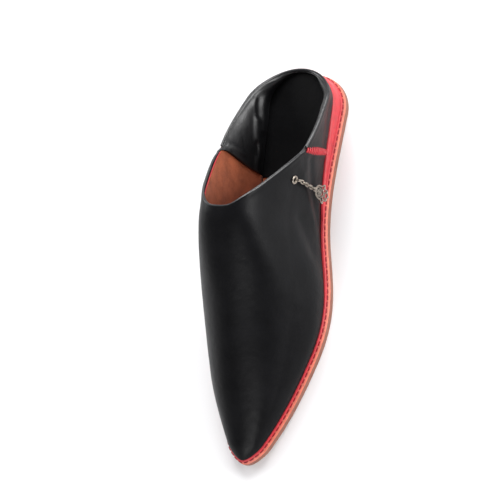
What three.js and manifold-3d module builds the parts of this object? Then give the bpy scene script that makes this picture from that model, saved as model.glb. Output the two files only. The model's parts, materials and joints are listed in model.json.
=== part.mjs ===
// Babouche slipper: a pointed, low-heeled leather slipper with an open heel quarter,
// a wedge heel, a flat leather sole and a hand charm hanging on a short chain.
//
// Frame: millimetres, +Z up, the sole stands on Z = 0, the toe points along -Y,
// the charm is on the +X side, and the origin is under the middle of the sole.
// Inside the functions a place on the shoe is given by its station, the distance
// from the back of the heel, by its side, positive towards the charm, and by its height.

import * as THREE from 'three';
import { mergeVertices } from 'three/addons/utils/BufferGeometryUtils.js';
import Module from 'manifold-3d';

const wasm = await Module();
wasm.setup();

// ---------------------------------------------------------------- driving sizes
const SOLE_LENGTH = 268;        // heel to toe, over the outsole
const SOLE_MARGIN = 2;          // how far the outsole stands out round the upper
const WALL = 2;                 // the upper's leather and its lining together
const GAP = 0.3;                // clearance between pieces that lie on each other

const OUTSOLE_THICK = 5.8;      // leather outsole
const OUTSOLE_EDGE = 3.9;       // height of its upright edge, under the bevel
const OUTSOLE_BEVEL = 1.5;      // how far the bevel runs in
const MIDSOLE_THICK = 1.4;      // crimson leather between outsole and upper
const MIDSOLE_MARGIN = 0.8;
const WEDGE_RISE = 12.4;        // extra height under the back of the heel
const WEDGE_END = 103;          // station where the wedge line meets the midsole
const WEDGE_CUT = 94;           // station where the wedge's own front edge lies
const INSOLE_THICK = 1.8;
const INSOLE_END = 257;         // it stops short of the toe's narrow end
const INSOLE_LEAN = 1.6;        // how far its upper edge leans in, under the vamp's walls
const TOE_SPRING = 2.5;         // lift of the sole at the toe
const SPRING_START = 205;       // station where the sole leaves the floor

const COLLAR_BACK = 24;         // height of the collar at the back of the heel
const NOTCH_STATION = 68;       // where the heel quarter meets the vamp's edge
const NOTCH_HEIGHT = 53;
const THROAT_STATION = 118;     // the top of the throat, on the centre line
const THROAT_HEIGHT = 91;
const TOE_HEIGHT = 14.5;        // top of the vamp just behind the toe's rounded nose
const NOSE = 5;                 // radius of that nose, seen from the side
const QUARTER_TOP = 95;         // height at which the quarter's walls would close
const SWELL = 0.05;             // bulge of the vamp's walls over the sole

const EYELET_STATION = 88;      // the charm's eyelet in the vamp's wing
const EYELET_HEIGHT = 53;
const EYELET_RADIUS = 2.8;
const EYELET_BORE = 1.3;
const EYELET_FLANGE = 1;        // thickness of its rim on the leather
const BAIL_RADIUS = 2;          // loop on the rim that the chain hangs from
const WIRE = 0.33;              // radius of the loop's and the links' wire
const LINK_COUNT = 6;
const LINK_RADIUS = 1.1;        // bend of a link's ends, to the middle of its wire
const LINK_STRAIGHT = 1.7;      // length of its straight sides
const CHARM_THICK = 1;

// Upper, seen from above: half width where it meets the sole.
const OUTLINE = [
  { station: 18, half: 25.6 },
  { station: 45, half: 25.0 },
  { station: 80, half: 24.8 },
  { station: 115, half: 29.4 },
  { station: 148, half: 38.0 },
  { station: 178, half: 39.8 },
  { station: 205, half: 33.6 },
  { station: 230, half: 25.0 },
  { station: 250, half: 16.0 },
  { station: 266, half: 7.2 },
];
const HEEL_ROUND = 24;          // length of the rounding at the heel and at the toe
const TOE_ROUND = 7;

// Cross sections: 2 is an ellipse, more is squarer, less is more peaked.
const SECTIONS = [
  { station: 0, squareness: 2.5 },
  { station: 70, squareness: 2.7 },
  { station: 118, squareness: 2.9 },
  { station: 168, squareness: 1.95 },
  { station: 240, squareness: 2.2 },
  { station: 268, squareness: 2.2 },
];

// Outward lean of the heel quarter's walls, which stand open like a funnel.
const LEAN = [
  { station: 0, flare: 1.1 },
  { station: 20, flare: 1.15 },
  { station: 45, flare: 1.15 },
  { station: 70, flare: 0.85 },
  { station: 92, flare: 0.3 },
  { station: 112, flare: 0 },
];

// The throat's edge from the notch up to its top, seen from the side.
const THROAT = [
  { station: 68, height: 53 },
  { station: 80, height: 63 },
  { station: 91, height: 72 },
  { station: 102, height: 81 },
  { station: 112, height: 88.6 },
  { station: 118, height: 91 },
];

// Lines that run over the upper from the sole's edge to the collar and throat.
const FAN = [
  { part: 0.0, foot: 2, rim: 2 },
  { part: 0.34, foot: 57, rim: 68 },
  { part: 0.5, foot: 104, rim: 88 },
  { part: 0.66, foot: 165, rim: 106 },
  { part: 0.83, foot: 232, rim: 116.4 },
  { part: 1.0, foot: 266, rim: 118 },
];

// ---------------------------------------------------------------- curves
// A natural cubic through a table's rows, level beyond its ends.
function curveThrough(rows, key, value) {
  const x = rows.map((row) => row[key]);
  const y = rows.map((row) => row[value]);
  const count = x.length;
  const bend = new Array(count).fill(0);
  const weight = new Array(count).fill(0);
  for (let i = 1; i < count - 1; i += 1) {
    const before = x[i] - x[i - 1];
    const after = x[i + 1] - x[i];
    const pivot = 2 * (before + after) - before * weight[i - 1];
    const turn = 6 * ((y[i + 1] - y[i]) / after - (y[i] - y[i - 1]) / before);
    weight[i] = after / pivot;
    bend[i] = (turn - before * bend[i - 1]) / pivot;
  }
  for (let i = count - 2; i > 0; i -= 1) bend[i] -= weight[i] * bend[i + 1];
  return (at) => {
    const t = Math.min(Math.max(at, x[0]), x[count - 1]);
    let i = 0;
    while (i < count - 2 && t > x[i + 1]) i += 1;
    const h = x[i + 1] - x[i];
    const a = (x[i + 1] - t) / h;
    const b = (t - x[i]) / h;
    const cubic = (a ** 3 - a) * bend[i] + (b ** 3 - b) * bend[i + 1];
    return a * y[i] + b * y[i + 1] + (cubic * h * h) / 6;
  };
}

const clamp01 = (value) => Math.min(Math.max(value, 0), 1);
const mix = (a, b, part) => a + (b - a) * part;
const round = (part) => Math.sqrt(clamp01(part) * (2 - clamp01(part)));

// ---------------------------------------------------------------- the last
const HEEL_BACK = SOLE_MARGIN;                  // stations of the upper's two ends
const TOE_TIP = SOLE_LENGTH - SOLE_MARGIN;
const WELT_TOP = OUTSOLE_THICK + MIDSOLE_THICK + 2 * GAP;

const outlineHalf = curveThrough(OUTLINE, 'station', 'half');
const squareness = curveThrough(SECTIONS, 'station', 'squareness');
const throatHeight = curveThrough(THROAT, 'station', 'height');
const flareAt = curveThrough(LEAN, 'station', 'flare');

// Half width of the upper where it meets the sole, round at heel and toe.
function halfWidth(station) {
  const heel = round((station - HEEL_BACK) / HEEL_ROUND);
  const toe = round((TOE_TIP - station) / TOE_ROUND);
  return outlineHalf(station) * heel * toe;
}

// Lift of the sole's underside over the floor.
function spring(station) {
  const part = Math.max(0, station - SPRING_START) / (SOLE_LENGTH - SPRING_START);
  return TOE_SPRING * part ** 2;
}

function wedgeRise(station) {
  return WEDGE_RISE * Math.max(0, 1 - station / WEDGE_END);
}

// Height of the upper's lower edge.
function footHeight(station) {
  return WELT_TOP + spring(station) + wedgeRise(station);
}

// Height at which the sections close: the vamp's ridge, and above the open quarter
// the height that its walls lean towards.
function ridgeHeight(station) {
  if (station < THROAT_STATION) {
    const part = clamp01((THROAT_STATION - station) / 40);
    return mix(THROAT_HEIGHT, QUARTER_TOP, part * (2 - part));
  }
  const along = (station - THROAT_STATION) / (TOE_TIP - NOSE - THROAT_STATION);
  const line = mix(THROAT_HEIGHT, TOE_HEIGHT, along);
  const foot = footHeight(station);
  return foot + (line - foot) * round((TOE_TIP - station) / NOSE);
}

// A point of the upper's outer face. turn runs from 0 at the sole to a quarter turn
// on the ridge. The section is a superellipse, swollen at the vamp, flared at the quarter.
function lastPoint(station, turn, side) {
  const power = 2 / squareness(station);
  const foot = footHeight(station);
  const rise = Math.sin(turn) ** power;
  const reach = Math.max(0, Math.cos(turn)) ** power;
  const vamp = clamp01((station - 60) / 58) * clamp01((TOE_TIP - station) / 68);
  const swell = 1 + SWELL * Math.sin(Math.PI * clamp01(rise / 0.5)) * vamp;
  const flare = 1 + flareAt(station) * rise;
  const height = mix(foot, ridgeHeight(station), rise);
  return [station, side * halfWidth(station) * reach * swell * flare, height];
}

// Height of the collar and throat over a station.
function rimHeight(station) {
  if (station >= NOTCH_STATION) return throatHeight(station);
  const part = (station - HEEL_BACK) / (NOTCH_STATION - HEEL_BACK);
  return mix(COLLAR_BACK, NOTCH_HEIGHT, part);
}

// Turn of a section at a given height.
function turnAt(station, height) {
  const foot = footHeight(station);
  const rise = clamp01((height - foot) / (ridgeHeight(station) - foot));
  return Math.asin(rise ** (squareness(station) / 2));
}

// Fullness of the flattened outline in which the fan's lines are straight: they
// stay inside it, and close up smoothly round the toe.
const FAN_CENTRE = 120;
function fanEdge(station) {
  const part = Math.max(0, station - FAN_CENTRE) / (TOE_TIP - FAN_CENTRE);
  return Math.sqrt(Math.max(0, 1 - part * part));
}

const fanFoot = curveThrough(FAN, 'part', 'foot');
const fanRim = curveThrough(FAN, 'part', 'rim');

// A point of the upper: part runs from the heel's back to the toe along one side,
// up from the sole's edge to the rim.
function upperPoint(part, up, side) {
  const foot = part >= 1 ? TOE_TIP : Math.min(Math.max(fanFoot(part), HEEL_BACK), TOE_TIP);
  const rim = part >= 1 ? THROAT_STATION : Math.min(fanRim(part), THROAT_STATION);
  const rimTurn = turnAt(rim, rimHeight(rim));
  const power = 2 / squareness(rim);
  const rimReach = Math.max(0, Math.cos(rimTurn)) ** power;
  const whole = 1 - rimReach;
  const reached = whole > 1e-9 ? (1 - Math.max(0, Math.cos(rimTurn * up)) ** power) / whole : up;
  const station = mix(foot, rim, reached);
  const across = mix(fanEdge(foot), rimReach, reached);
  const edge = fanEdge(station);
  if (part < 0.02 || edge < 1e-6) return lastPoint(station, rimTurn * up, side);
  const reach = clamp01(across / edge);
  const turn = Math.acos(clamp01(reach ** (squareness(station) / 2)));
  return lastPoint(station, turn, side);
}

// ---------------------------------------------------------------- solids
// Puts [station, side, height] into the part's frame.
function placed([station, side, height]) {
  return [side, SOLE_LENGTH / 2 - station, height];
}

function geometryOf(points, faces) {
  const geometry = new THREE.BufferGeometry();
  geometry.setAttribute('position', new THREE.Float32BufferAttribute(points.flat(), 3));
  geometry.setIndex(faces.flat());
  return mergeVertices(geometry, 1e-4);
}

function manifoldOf(geometry) {
  const bare = geometry.clone();
  bare.deleteAttribute('normal');
  bare.deleteAttribute('uv');
  const merged = mergeVertices(bare, 1e-4);
  return new wasm.Manifold(new wasm.Mesh({
    numProp: 3,
    vertProperties: new Float32Array(merged.attributes.position.array),
    triVerts: new Uint32Array(merged.index.array),
  }));
}

function geometryFrom(manifold) {
  const mesh = manifold.getMesh();
  const geometry = new THREE.BufferGeometry();
  geometry.setAttribute('position', new THREE.Float32BufferAttribute(mesh.vertProperties, 3));
  geometry.setIndex(Array.from(mesh.triVerts));
  return geometry;
}

function quad(faces, a, b, c, d) {
  faces.push([a, b, c], [a, c, d]);
}

// The upper: its outer face, the inner face one wall inside, and the two edges.
const UPPER_COLUMNS = 34;       // along one side
const UPPER_ROWS = 13;
function upperGeometry() {
  const columns = 2 * UPPER_COLUMNS;
  const outer = [];
  for (let row = 0; row <= UPPER_ROWS; row += 1) {
    for (let column = 0; column < columns; column += 1) {
      const near = column <= UPPER_COLUMNS;
      const part = (near ? column : columns - column) / UPPER_COLUMNS;
      const point = upperPoint(part, row / UPPER_ROWS, near ? 1 : -1);
      outer.push(new THREE.Vector3(...placed(point)));
    }
  }
  const at = (row, column) => row * columns + ((column + columns) % columns);
  const inner = outer.map((point, index) => {
    const row = Math.floor(index / columns);
    const column = index % columns;
    const along = new THREE.Vector3().subVectors(outer[at(row, column + 1)], outer[at(row, column - 1)]);
    const low = outer[at(Math.max(row - 1, 0), column)];
    const high = outer[at(Math.min(row + 1, UPPER_ROWS), column)];
    const rise = new THREE.Vector3().subVectors(high, low);
    const outward = new THREE.Vector3().crossVectors(rise, along).normalize();
    if (row === 0) outward.setZ(0).normalize();
    return point.clone().addScaledVector(outward, -WALL);
  });
  const points = [...outer, ...inner].map((point) => point.toArray());
  const faces = [];
  const inside = outer.length;
  for (let row = 0; row < UPPER_ROWS; row += 1) {
    for (let column = 0; column < columns; column += 1) {
      const corners = [at(row, column), at(row + 1, column), at(row + 1, column + 1), at(row, column + 1)];
      quad(faces, ...corners);
      quad(faces, ...corners.reverse().map((corner) => corner + inside));
    }
  }
  for (let column = 0; column < columns; column += 1) {
    const foot = [at(0, column), at(0, column + 1)];
    const rim = [at(UPPER_ROWS, column), at(UPPER_ROWS, column + 1)];
    quad(faces, foot[0], foot[1], foot[1] + inside, foot[0] + inside);
    quad(faces, rim[1], rim[0], rim[0] + inside, rim[1] + inside);
  }
  return geometryOf(points, faces);
}

// Points down the +X half of the sole's outline, moved out by a margin.
const OUTLINE_STEPS = 34;
function outlinePoints(margin, lastStation) {
  const stationAt = (step) => {
    const part = (1 - Math.cos((Math.PI * step) / OUTLINE_STEPS)) / 2;
    return mix(HEEL_BACK, TOE_TIP, part);
  };
  const points = [];
  for (let step = 0; step <= OUTLINE_STEPS; step += 1) {
    const station = stationAt(step);
    const before = stationAt(Math.max(step - 0.5, 0));
    const after = stationAt(Math.min(step + 0.5, OUTLINE_STEPS));
    const ends = step === 0 || step === OUTLINE_STEPS;
    const run = ends ? 0 : after - before;
    const turn = ends ? (step ? -1 : 1) : halfWidth(after) - halfWidth(before);
    const length = Math.hypot(run, turn);
    const moved = station - (margin * turn) / length;
    const half = Math.max(0, halfWidth(station) + (margin * run) / length);
    if (moved > lastStation) break;
    points.push([moved, ends ? 0 : half]);
  }
  return points;
}

// A layer of the sole: rings of the outline, each with its margin and its height over
// a station, from the underside up, closed below and above.
function layerGeometry(rings, lastStation = SOLE_LENGTH + SOLE_MARGIN) {
  const points = [];
  const faces = [];
  const loops = rings.map(({ margin, height }) => {
    const line = outlinePoints(margin, lastStation);
    const pair = line.map(([station, half]) => [1, -1].map((side) => {
      points.push(placed([station, side * half, height(station)]));
      return points.length - 1;
    }));
    return pair;
  });
  const steps = Math.min(...loops.map((loop) => loop.length)) - 1;
  const bottom = loops[0];
  const top = loops[loops.length - 1];
  for (let step = 0; step < steps; step += 1) {
    quad(faces, bottom[step][0], bottom[step + 1][0], bottom[step + 1][1], bottom[step][1]);
    quad(faces, top[step][1], top[step + 1][1], top[step + 1][0], top[step][0]);
    for (let level = 0; level < loops.length - 1; level += 1) {
      const low = loops[level];
      const high = loops[level + 1];
      quad(faces, low[step][0], high[step][0], high[step + 1][0], low[step + 1][0]);
      quad(faces, low[step + 1][1], high[step + 1][1], high[step][1], low[step][1]);
    }
  }
  for (let level = 0; level < loops.length - 1; level += 1) {
    const low = loops[level][steps];
    const high = loops[level + 1][steps];
    quad(faces, low[0], high[0], high[1], low[1]);
  }
  const merged = geometryOf(points, faces);
  return withoutSlivers(merged);
}

// Drops triangles that have shrunk to a line where a ring closes on the centre line.
function withoutSlivers(geometry) {
  const kept = [];
  const index = geometry.index.array;
  for (let i = 0; i < index.length; i += 3) {
    const [a, b, c] = [index[i], index[i + 1], index[i + 2]];
    if (a !== b && b !== c && c !== a) kept.push(a, b, c);
  }
  geometry.setIndex(kept);
  return geometry;
}

function outsoleGeometry() {
  return layerGeometry([
    { margin: SOLE_MARGIN - 0.5, height: (station) => spring(station) },
    { margin: SOLE_MARGIN, height: (station) => 0.6 + spring(station) },
    { margin: SOLE_MARGIN, height: (station) => OUTSOLE_EDGE + spring(station) },
    { margin: SOLE_MARGIN - OUTSOLE_BEVEL, height: (station) => OUTSOLE_THICK + spring(station) },
  ]);
}

function midsoleGeometry() {
  const low = OUTSOLE_THICK + GAP;
  return layerGeometry([
    { margin: MIDSOLE_MARGIN, height: (station) => low + spring(station) },
    { margin: MIDSOLE_MARGIN, height: (station) => low + MIDSOLE_THICK + spring(station) },
  ]);
}

function wedgeGeometry() {
  return layerGeometry([
    { margin: GAP, height: () => WELT_TOP },
    { margin: GAP, height: (station) => footHeight(station) - GAP },
  ], WEDGE_CUT);
}

function insoleGeometry() {
  const margin = -(WALL + 2 * GAP);
  return layerGeometry([
    { margin, height: (station) => footHeight(station) },
    { margin: margin - INSOLE_LEAN, height: (station) => footHeight(station) + INSOLE_THICK },
  ], INSOLE_END);
}

// ---------------------------------------------------------------- eyelet, chain, charm
// Turn of the section where the wing's wall reaches the eyelet's height.
const eyeletTurn = turnAt(EYELET_STATION, EYELET_HEIGHT);

function eyeletPlace() {
  const reachOf = (station, turn) => new THREE.Vector3(...placed(lastPoint(station, turn, 1)));
  const centre = reachOf(EYELET_STATION, eyeletTurn);
  const along = reachOf(EYELET_STATION + 2, eyeletTurn).sub(reachOf(EYELET_STATION - 2, eyeletTurn));
  const rise = reachOf(EYELET_STATION, eyeletTurn + 0.05).sub(reachOf(EYELET_STATION, eyeletTurn - 0.05));
  const outward = new THREE.Vector3().crossVectors(rise, along).normalize();
  return { centre, outward };
}
const eyelet = eyeletPlace();

// Where the chain hangs from: the lowest point of the loop's wire.
const HANG = new THREE.Vector3(
  eyelet.centre.x + BAIL_RADIUS + EYELET_FLANGE + GAP,
  eyelet.centre.y,
  eyelet.centre.z - EYELET_RADIUS - BAIL_RADIUS + 0.4,
);
const LINK_PITCH = LINK_STRAIGHT + LINK_RADIUS;

// Turned about Y so that +Y of the shape lies along a direction.
function aimed(geometry, direction, position) {
  const turn = new THREE.Quaternion().setFromUnitVectors(new THREE.Vector3(0, 1, 0), direction);
  geometry.applyQuaternion(turn);
  return geometry.translate(position.x, position.y, position.z);
}

// A hollow rivet: its rim outside, its barrel through the leather and its curled end
// inside, with the loop standing on the rim.
function eyeletGeometry() {
  const barrel = EYELET_BORE + 0.4;
  const back = -(WALL + 2 * GAP);
  const profile = [
    [EYELET_BORE, back - 0.5],
    [EYELET_RADIUS - 0.4, back - 0.5],
    [EYELET_RADIUS - 0.4, back],
    [barrel, back],
    [barrel, GAP],
    [EYELET_RADIUS, GAP],
    [EYELET_RADIUS, GAP + 0.4 * EYELET_FLANGE],
    [EYELET_RADIUS - 0.4, GAP + EYELET_FLANGE],
    [EYELET_BORE + 0.2, GAP + EYELET_FLANGE],
    [EYELET_BORE, GAP + 0.6 * EYELET_FLANGE],
    [EYELET_BORE, back - 0.5],
  ].map(([radius, height]) => new THREE.Vector2(radius, height));
  const rivet = aimed(new THREE.LatheGeometry(profile, 20), eyelet.outward, eyelet.centre);
  const loop = new THREE.TorusGeometry(BAIL_RADIUS, WIRE, 8, 20);
  loop.rotateX(Math.PI / 2);
  loop.translate(HANG.x, HANG.y, HANG.z + BAIL_RADIUS);
  return geometryFrom(manifoldOf(rivet).add(manifoldOf(loop)));
}

// Hole for the rivet's barrel, cut right through the upper's wall.
function eyeletHole() {
  const drill = new THREE.CylinderGeometry(EYELET_BORE + 0.4 + GAP, EYELET_BORE + 0.4 + GAP, 8, 16);
  return manifoldOf(aimed(drill, eyelet.outward, eyelet.centre));
}

// A long oval link, hung so that its upper end turns about the given height. Links
// lie flat along the shoe and edge-on to it in turn.
function linkGeometry(top, edgeOn) {
  const low = -LINK_STRAIGHT;
  const r = LINK_RADIUS;
  const points = [];
  const bend = 8;
  for (let i = 0; i <= bend; i += 1) {
    const turn = (Math.PI * i) / bend;
    points.push(new THREE.Vector3(0, r * Math.cos(turn), r * Math.sin(turn)));
  }
  for (let i = 0; i <= bend; i += 1) {
    const turn = Math.PI + (Math.PI * i) / bend;
    points.push(new THREE.Vector3(0, r * Math.cos(turn), low + r * Math.sin(turn)));
  }
  const line = ringTube(points, WIRE, 6);
  if (edgeOn) line.rotateZ(Math.PI / 2);
  return line.translate(HANG.x, HANG.y, top);
}

// A closed wire through points that lie in the plane x = 0.
function ringTube(points, radius, sides) {
  const vertices = [];
  const faces = [];
  const count = points.length;
  points.forEach((point, index) => {
    const ahead = points[(index + 1) % count];
    const behind = points[(index + count - 1) % count];
    const along = new THREE.Vector3().subVectors(ahead, behind).normalize();
    const across = new THREE.Vector3(1, 0, 0);
    const outward = new THREE.Vector3().crossVectors(along, across);
    for (let side = 0; side < sides; side += 1) {
      const turn = (2 * Math.PI * side) / sides;
      const spot = point.clone();
      spot.addScaledVector(outward, radius * Math.cos(turn));
      spot.addScaledVector(across, radius * Math.sin(turn));
      vertices.push(spot.toArray());
      const next = (side + 1) % sides;
      const here = index * sides;
      const there = ((index + 1) % count) * sides;
      quad(faces, here + side, there + side, there + next, here + next);
    }
  });
  return geometryOf(vertices, faces);
}

// The charm: an openwork hand that hangs with its fingers down, drawn in the plane of
// the shoe's side, x towards the toe, with its eye's centre at the origin.
const CHARM_EYE = 0.75;
const CHARM_DOME = -1.3;        // top of the hand's dome
function charmShape() {
  const top = CHARM_DOME;
  const hand = new THREE.Shape();
  hand.moveTo(0, top);
  hand.bezierCurveTo(2.6, top, 4.1, top - 2.2, 4.3, top - 5.2);
  hand.bezierCurveTo(4.4, top - 7, 4.9, top - 8.2, 6.2, top - 8.6);
  hand.bezierCurveTo(6.9, top - 10.4, 5.2, top - 11.4, 3.6, top - 10.8);
  hand.lineTo(3.6, top - 13.4);
  hand.absarc(2.5, top - 13.4, 1.1, 0, -Math.PI, true);
  hand.lineTo(1.2, top - 14.4);
  hand.absarc(0, top - 15, 1.2, Math.PI / 6, Math.PI * 5 / 6, true);
  hand.lineTo(-1.4, top - 13.4);
  hand.absarc(-2.5, top - 13.4, 1.1, 0, -Math.PI, true);
  hand.lineTo(-3.6, top - 10.8);
  hand.bezierCurveTo(-5.2, top - 11.4, -6.9, top - 10.4, -6.2, top - 8.6);
  hand.bezierCurveTo(-4.9, top - 8.2, -4.4, top - 7, -4.3, top - 5.2);
  hand.bezierCurveTo(-4.1, top - 2.2, -2.6, top, 0, top);
  const hole = (x, y, radius) => {
    const opening = new THREE.Path();
    opening.absarc(x, y, radius, 0, 2 * Math.PI, false);
    hand.holes.push(opening);
  };
  const petals = 6;
  for (let petal = 0; petal < petals; petal += 1) {
    const turn = (2 * Math.PI * (petal + 0.5)) / petals;
    hole(2.2 * Math.sin(turn), top - 6.1 + 2.2 * Math.cos(turn), 0.65);
  }
  hole(0, top - 2, 0.6);
  [-2.4, 0, 2.4].forEach((x) => hole(x, top - 11.2, 0.6));
  return hand;
}

function charmGeometry(top) {
  const options = { depth: CHARM_THICK, bevelEnabled: false, curveSegments: 5 };
  const hand = manifoldOf(new THREE.ExtrudeGeometry(charmShape(), options));
  const ring = new THREE.Shape();
  ring.absarc(0, 0, 2 * CHARM_EYE, 0, 2 * Math.PI, false);
  const eye = manifoldOf(new THREE.ExtrudeGeometry(ring, options));
  const bore = new THREE.Path();
  bore.absarc(0, 0, CHARM_EYE, 0, 2 * Math.PI, false);
  const drill = new THREE.Shape(bore.getPoints(5));
  const drilled = manifoldOf(new THREE.ExtrudeGeometry(drill, { ...options, depth: 3 * CHARM_THICK })
    .translate(0, 0, -CHARM_THICK));
  const geometry = geometryFrom(hand.add(eye).subtract(drilled));
  geometry.translate(0, 0, -CHARM_THICK / 2);
  geometry.rotateX(Math.PI / 2);
  geometry.rotateZ(Math.PI / 2);
  return geometry.translate(HANG.x, HANG.y, top);
}

// ---------------------------------------------------------------- the model
function pieceOf(name, geometry, colour, roughness, metalness) {
  geometry.computeVertexNormals();
  const material = new THREE.MeshStandardMaterial({ color: colour, roughness, metalness });
  const mesh = new THREE.Mesh(geometry, material);
  mesh.name = name;
  return mesh;
}

const slipper = new THREE.Group();
slipper.name = 'babouche_slipper';
slipper.add(pieceOf('outsole', outsoleGeometry(), '#86584a', 0.6, 0));
slipper.add(pieceOf('midsole', midsoleGeometry(), '#b8383d', 0.55, 0));
slipper.add(pieceOf('heel_wedge', wedgeGeometry(), '#b8383d', 0.5, 0));
const pierced = geometryFrom(manifoldOf(upperGeometry()).subtract(eyeletHole()));
slipper.add(pieceOf('upper', pierced, '#17171a', 0.42, 0));
slipper.add(pieceOf('insole', insoleGeometry(), '#8c4e37', 0.95, 0));
slipper.add(pieceOf('eyelet', eyeletGeometry(), '#b9b4aa', 0.3, 1));
for (let link = 0; link < LINK_COUNT; link += 1) {
  const geometry = linkGeometry(HANG.z - link * LINK_PITCH, link % 2 === 1);
  slipper.add(pieceOf(`chain_link_${link + 1}`, geometry, '#b9b4aa', 0.3, 1));
}
slipper.add(pieceOf('charm', charmGeometry(HANG.z - LINK_COUNT * LINK_PITCH), '#a8a39a', 0.35, 1));

export default slipper;
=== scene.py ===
"""Looks of the babouche slipper: leather upper, linings, sole, stitching and charm.

Lengths are worked out in millimetres in the shoe's own terms, then put into the
frame in metres. A place on the shoe is its station, the distance from the back of
the heel, its side, positive towards the charm, and its height over the floor.
"""
import json
import math

import bmesh
import bpy
import numpy as np
from mathutils import Matrix, Vector


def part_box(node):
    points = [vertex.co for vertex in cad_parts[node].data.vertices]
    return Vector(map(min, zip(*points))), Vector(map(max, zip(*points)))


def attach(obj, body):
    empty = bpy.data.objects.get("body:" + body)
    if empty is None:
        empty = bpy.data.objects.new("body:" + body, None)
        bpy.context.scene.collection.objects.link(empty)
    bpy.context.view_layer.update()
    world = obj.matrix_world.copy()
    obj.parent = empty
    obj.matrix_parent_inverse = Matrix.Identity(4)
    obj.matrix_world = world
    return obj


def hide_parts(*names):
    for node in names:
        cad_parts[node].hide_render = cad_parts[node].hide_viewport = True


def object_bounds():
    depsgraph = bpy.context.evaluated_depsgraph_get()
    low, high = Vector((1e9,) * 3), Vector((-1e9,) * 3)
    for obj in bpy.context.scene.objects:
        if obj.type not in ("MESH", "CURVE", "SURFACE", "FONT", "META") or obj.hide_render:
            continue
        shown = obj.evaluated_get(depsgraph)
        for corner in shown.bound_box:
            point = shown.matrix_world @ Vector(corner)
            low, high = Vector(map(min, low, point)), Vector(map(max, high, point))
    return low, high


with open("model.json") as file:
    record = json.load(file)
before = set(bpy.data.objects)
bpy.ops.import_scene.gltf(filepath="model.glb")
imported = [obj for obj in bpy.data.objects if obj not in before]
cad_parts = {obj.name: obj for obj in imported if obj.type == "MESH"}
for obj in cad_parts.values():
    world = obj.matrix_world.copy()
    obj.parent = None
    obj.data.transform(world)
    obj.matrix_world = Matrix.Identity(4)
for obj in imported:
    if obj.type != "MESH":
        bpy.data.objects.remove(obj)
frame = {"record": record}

bl_info = {
    "name": "Babouche Slipper",
    "version": (1, 0, 0),
    "blender": (4, 5, 0),
    "location": "View3D > Sidebar > Slipper",
    "description": "Builds a leather babouche slipper, piece by piece, round its frame",
    "category": "Object",
}

CAD_BOX = [list(corner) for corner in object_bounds()]
MM = 0.001
SOLE_LOW, SOLE_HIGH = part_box("outsole")
UPPER_LOW, UPPER_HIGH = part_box("upper")
SOLE_LENGTH = (SOLE_HIGH.y - SOLE_LOW.y) / MM
THROAT_HEIGHT = UPPER_HIGH.z / MM
FOOT_LEVEL = UPPER_LOW.z / MM
JOINTS = {joint["name"]: joint for joint in frame["record"]["behaviour"]["joints"]}
HANG = Vector(JOINTS["chain_swing"]["pos_m"]) / MM
CHARM_HANG = Vector(JOINTS["charm_swing"]["pos_m"]) / MM
SOLE_MARGIN = 2.0               # how far the sole stands out past the upper

# ------------------------------------------------------------------ sizes and colours


def length_of(name, description, size):
    """A length in metres, given here in millimetres."""
    return bpy.props.FloatProperty(
        name=name, description=description, default=size * MM, min=0.0, precision=5,
        unit="LENGTH", subtype="DISTANCE")


def colour_of(name, description, red, green, blue):
    """A colour given as screen values from 0 to 255, kept linear."""
    linear = [((value / 255 + 0.055) / 1.055) ** 2.4 if value > 10 else value / 255 / 12.92
              for value in (red, green, blue)]
    return bpy.props.FloatVectorProperty(
        name=name, description=description, default=linear, min=0.0, max=1.0, size=3,
        subtype="COLOR")


class SlipperSizes(bpy.types.PropertyGroup):
    """Sizes of the slipper's leather work."""
    wall: length_of("Wall", "Thickness of the upper's leather", 1.95)
    lining: length_of("Lining", "Thickness of the suede lining", 0.4)
    quarter_lining: length_of("Quarter lining", "Thickness of the heel's lining", 0.6)
    outsole: length_of("Outsole", "Thickness of the leather outsole", 5.8)
    sole_margin: length_of("Sole margin", "How far the sole stands out", SOLE_MARGIN)
    bevel: length_of("Bevel", "Width of the bevel on the outsole's edge", 1.6)
    rand_margin: length_of("Rand margin", "How far the crimson rand stands out", 0.9)
    wedge_rise: length_of("Wedge rise", "Extra height under the heel", 12.4)
    sole_stitch: length_of("Sole stitch", "Pitch of the stitches round the sole", 4.4)
    seam_stitch: length_of("Seam stitch", "Pitch of the side seam's whip stitches", 2.8)
    seam_width: length_of("Seam width", "Width of the side seam at its middle", 4.2)


class SlipperColours(bpy.types.PropertyGroup):
    """Colours of the slipper's leathers, thread and metal."""
    upper: colour_of("Upper", "Black leather of the upper", 11, 11, 13)
    lining: colour_of("Lining", "Rust suede of the lining and footbed", 146, 78, 50)
    crimson: colour_of("Crimson", "Leather of the wedge and rand", 196, 48, 56)
    thread: colour_of("Thread", "Waxed thread", 190, 30, 42)
    edge: colour_of("Edge", "Cut edge of the outsole", 140, 90, 72)
    bevel: colour_of("Bevel", "Dyed bevel of the outsole", 216, 114, 92)
    tread: colour_of("Tread", "Underside of the outsole", 168, 120, 86)
    silver: colour_of("Silver", "Eyelet, chain and charm", 158, 149, 138)


def sizes():
    return bpy.context.scene.slipper_sizes


def colours():
    return bpy.context.scene.slipper_colours


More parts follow.
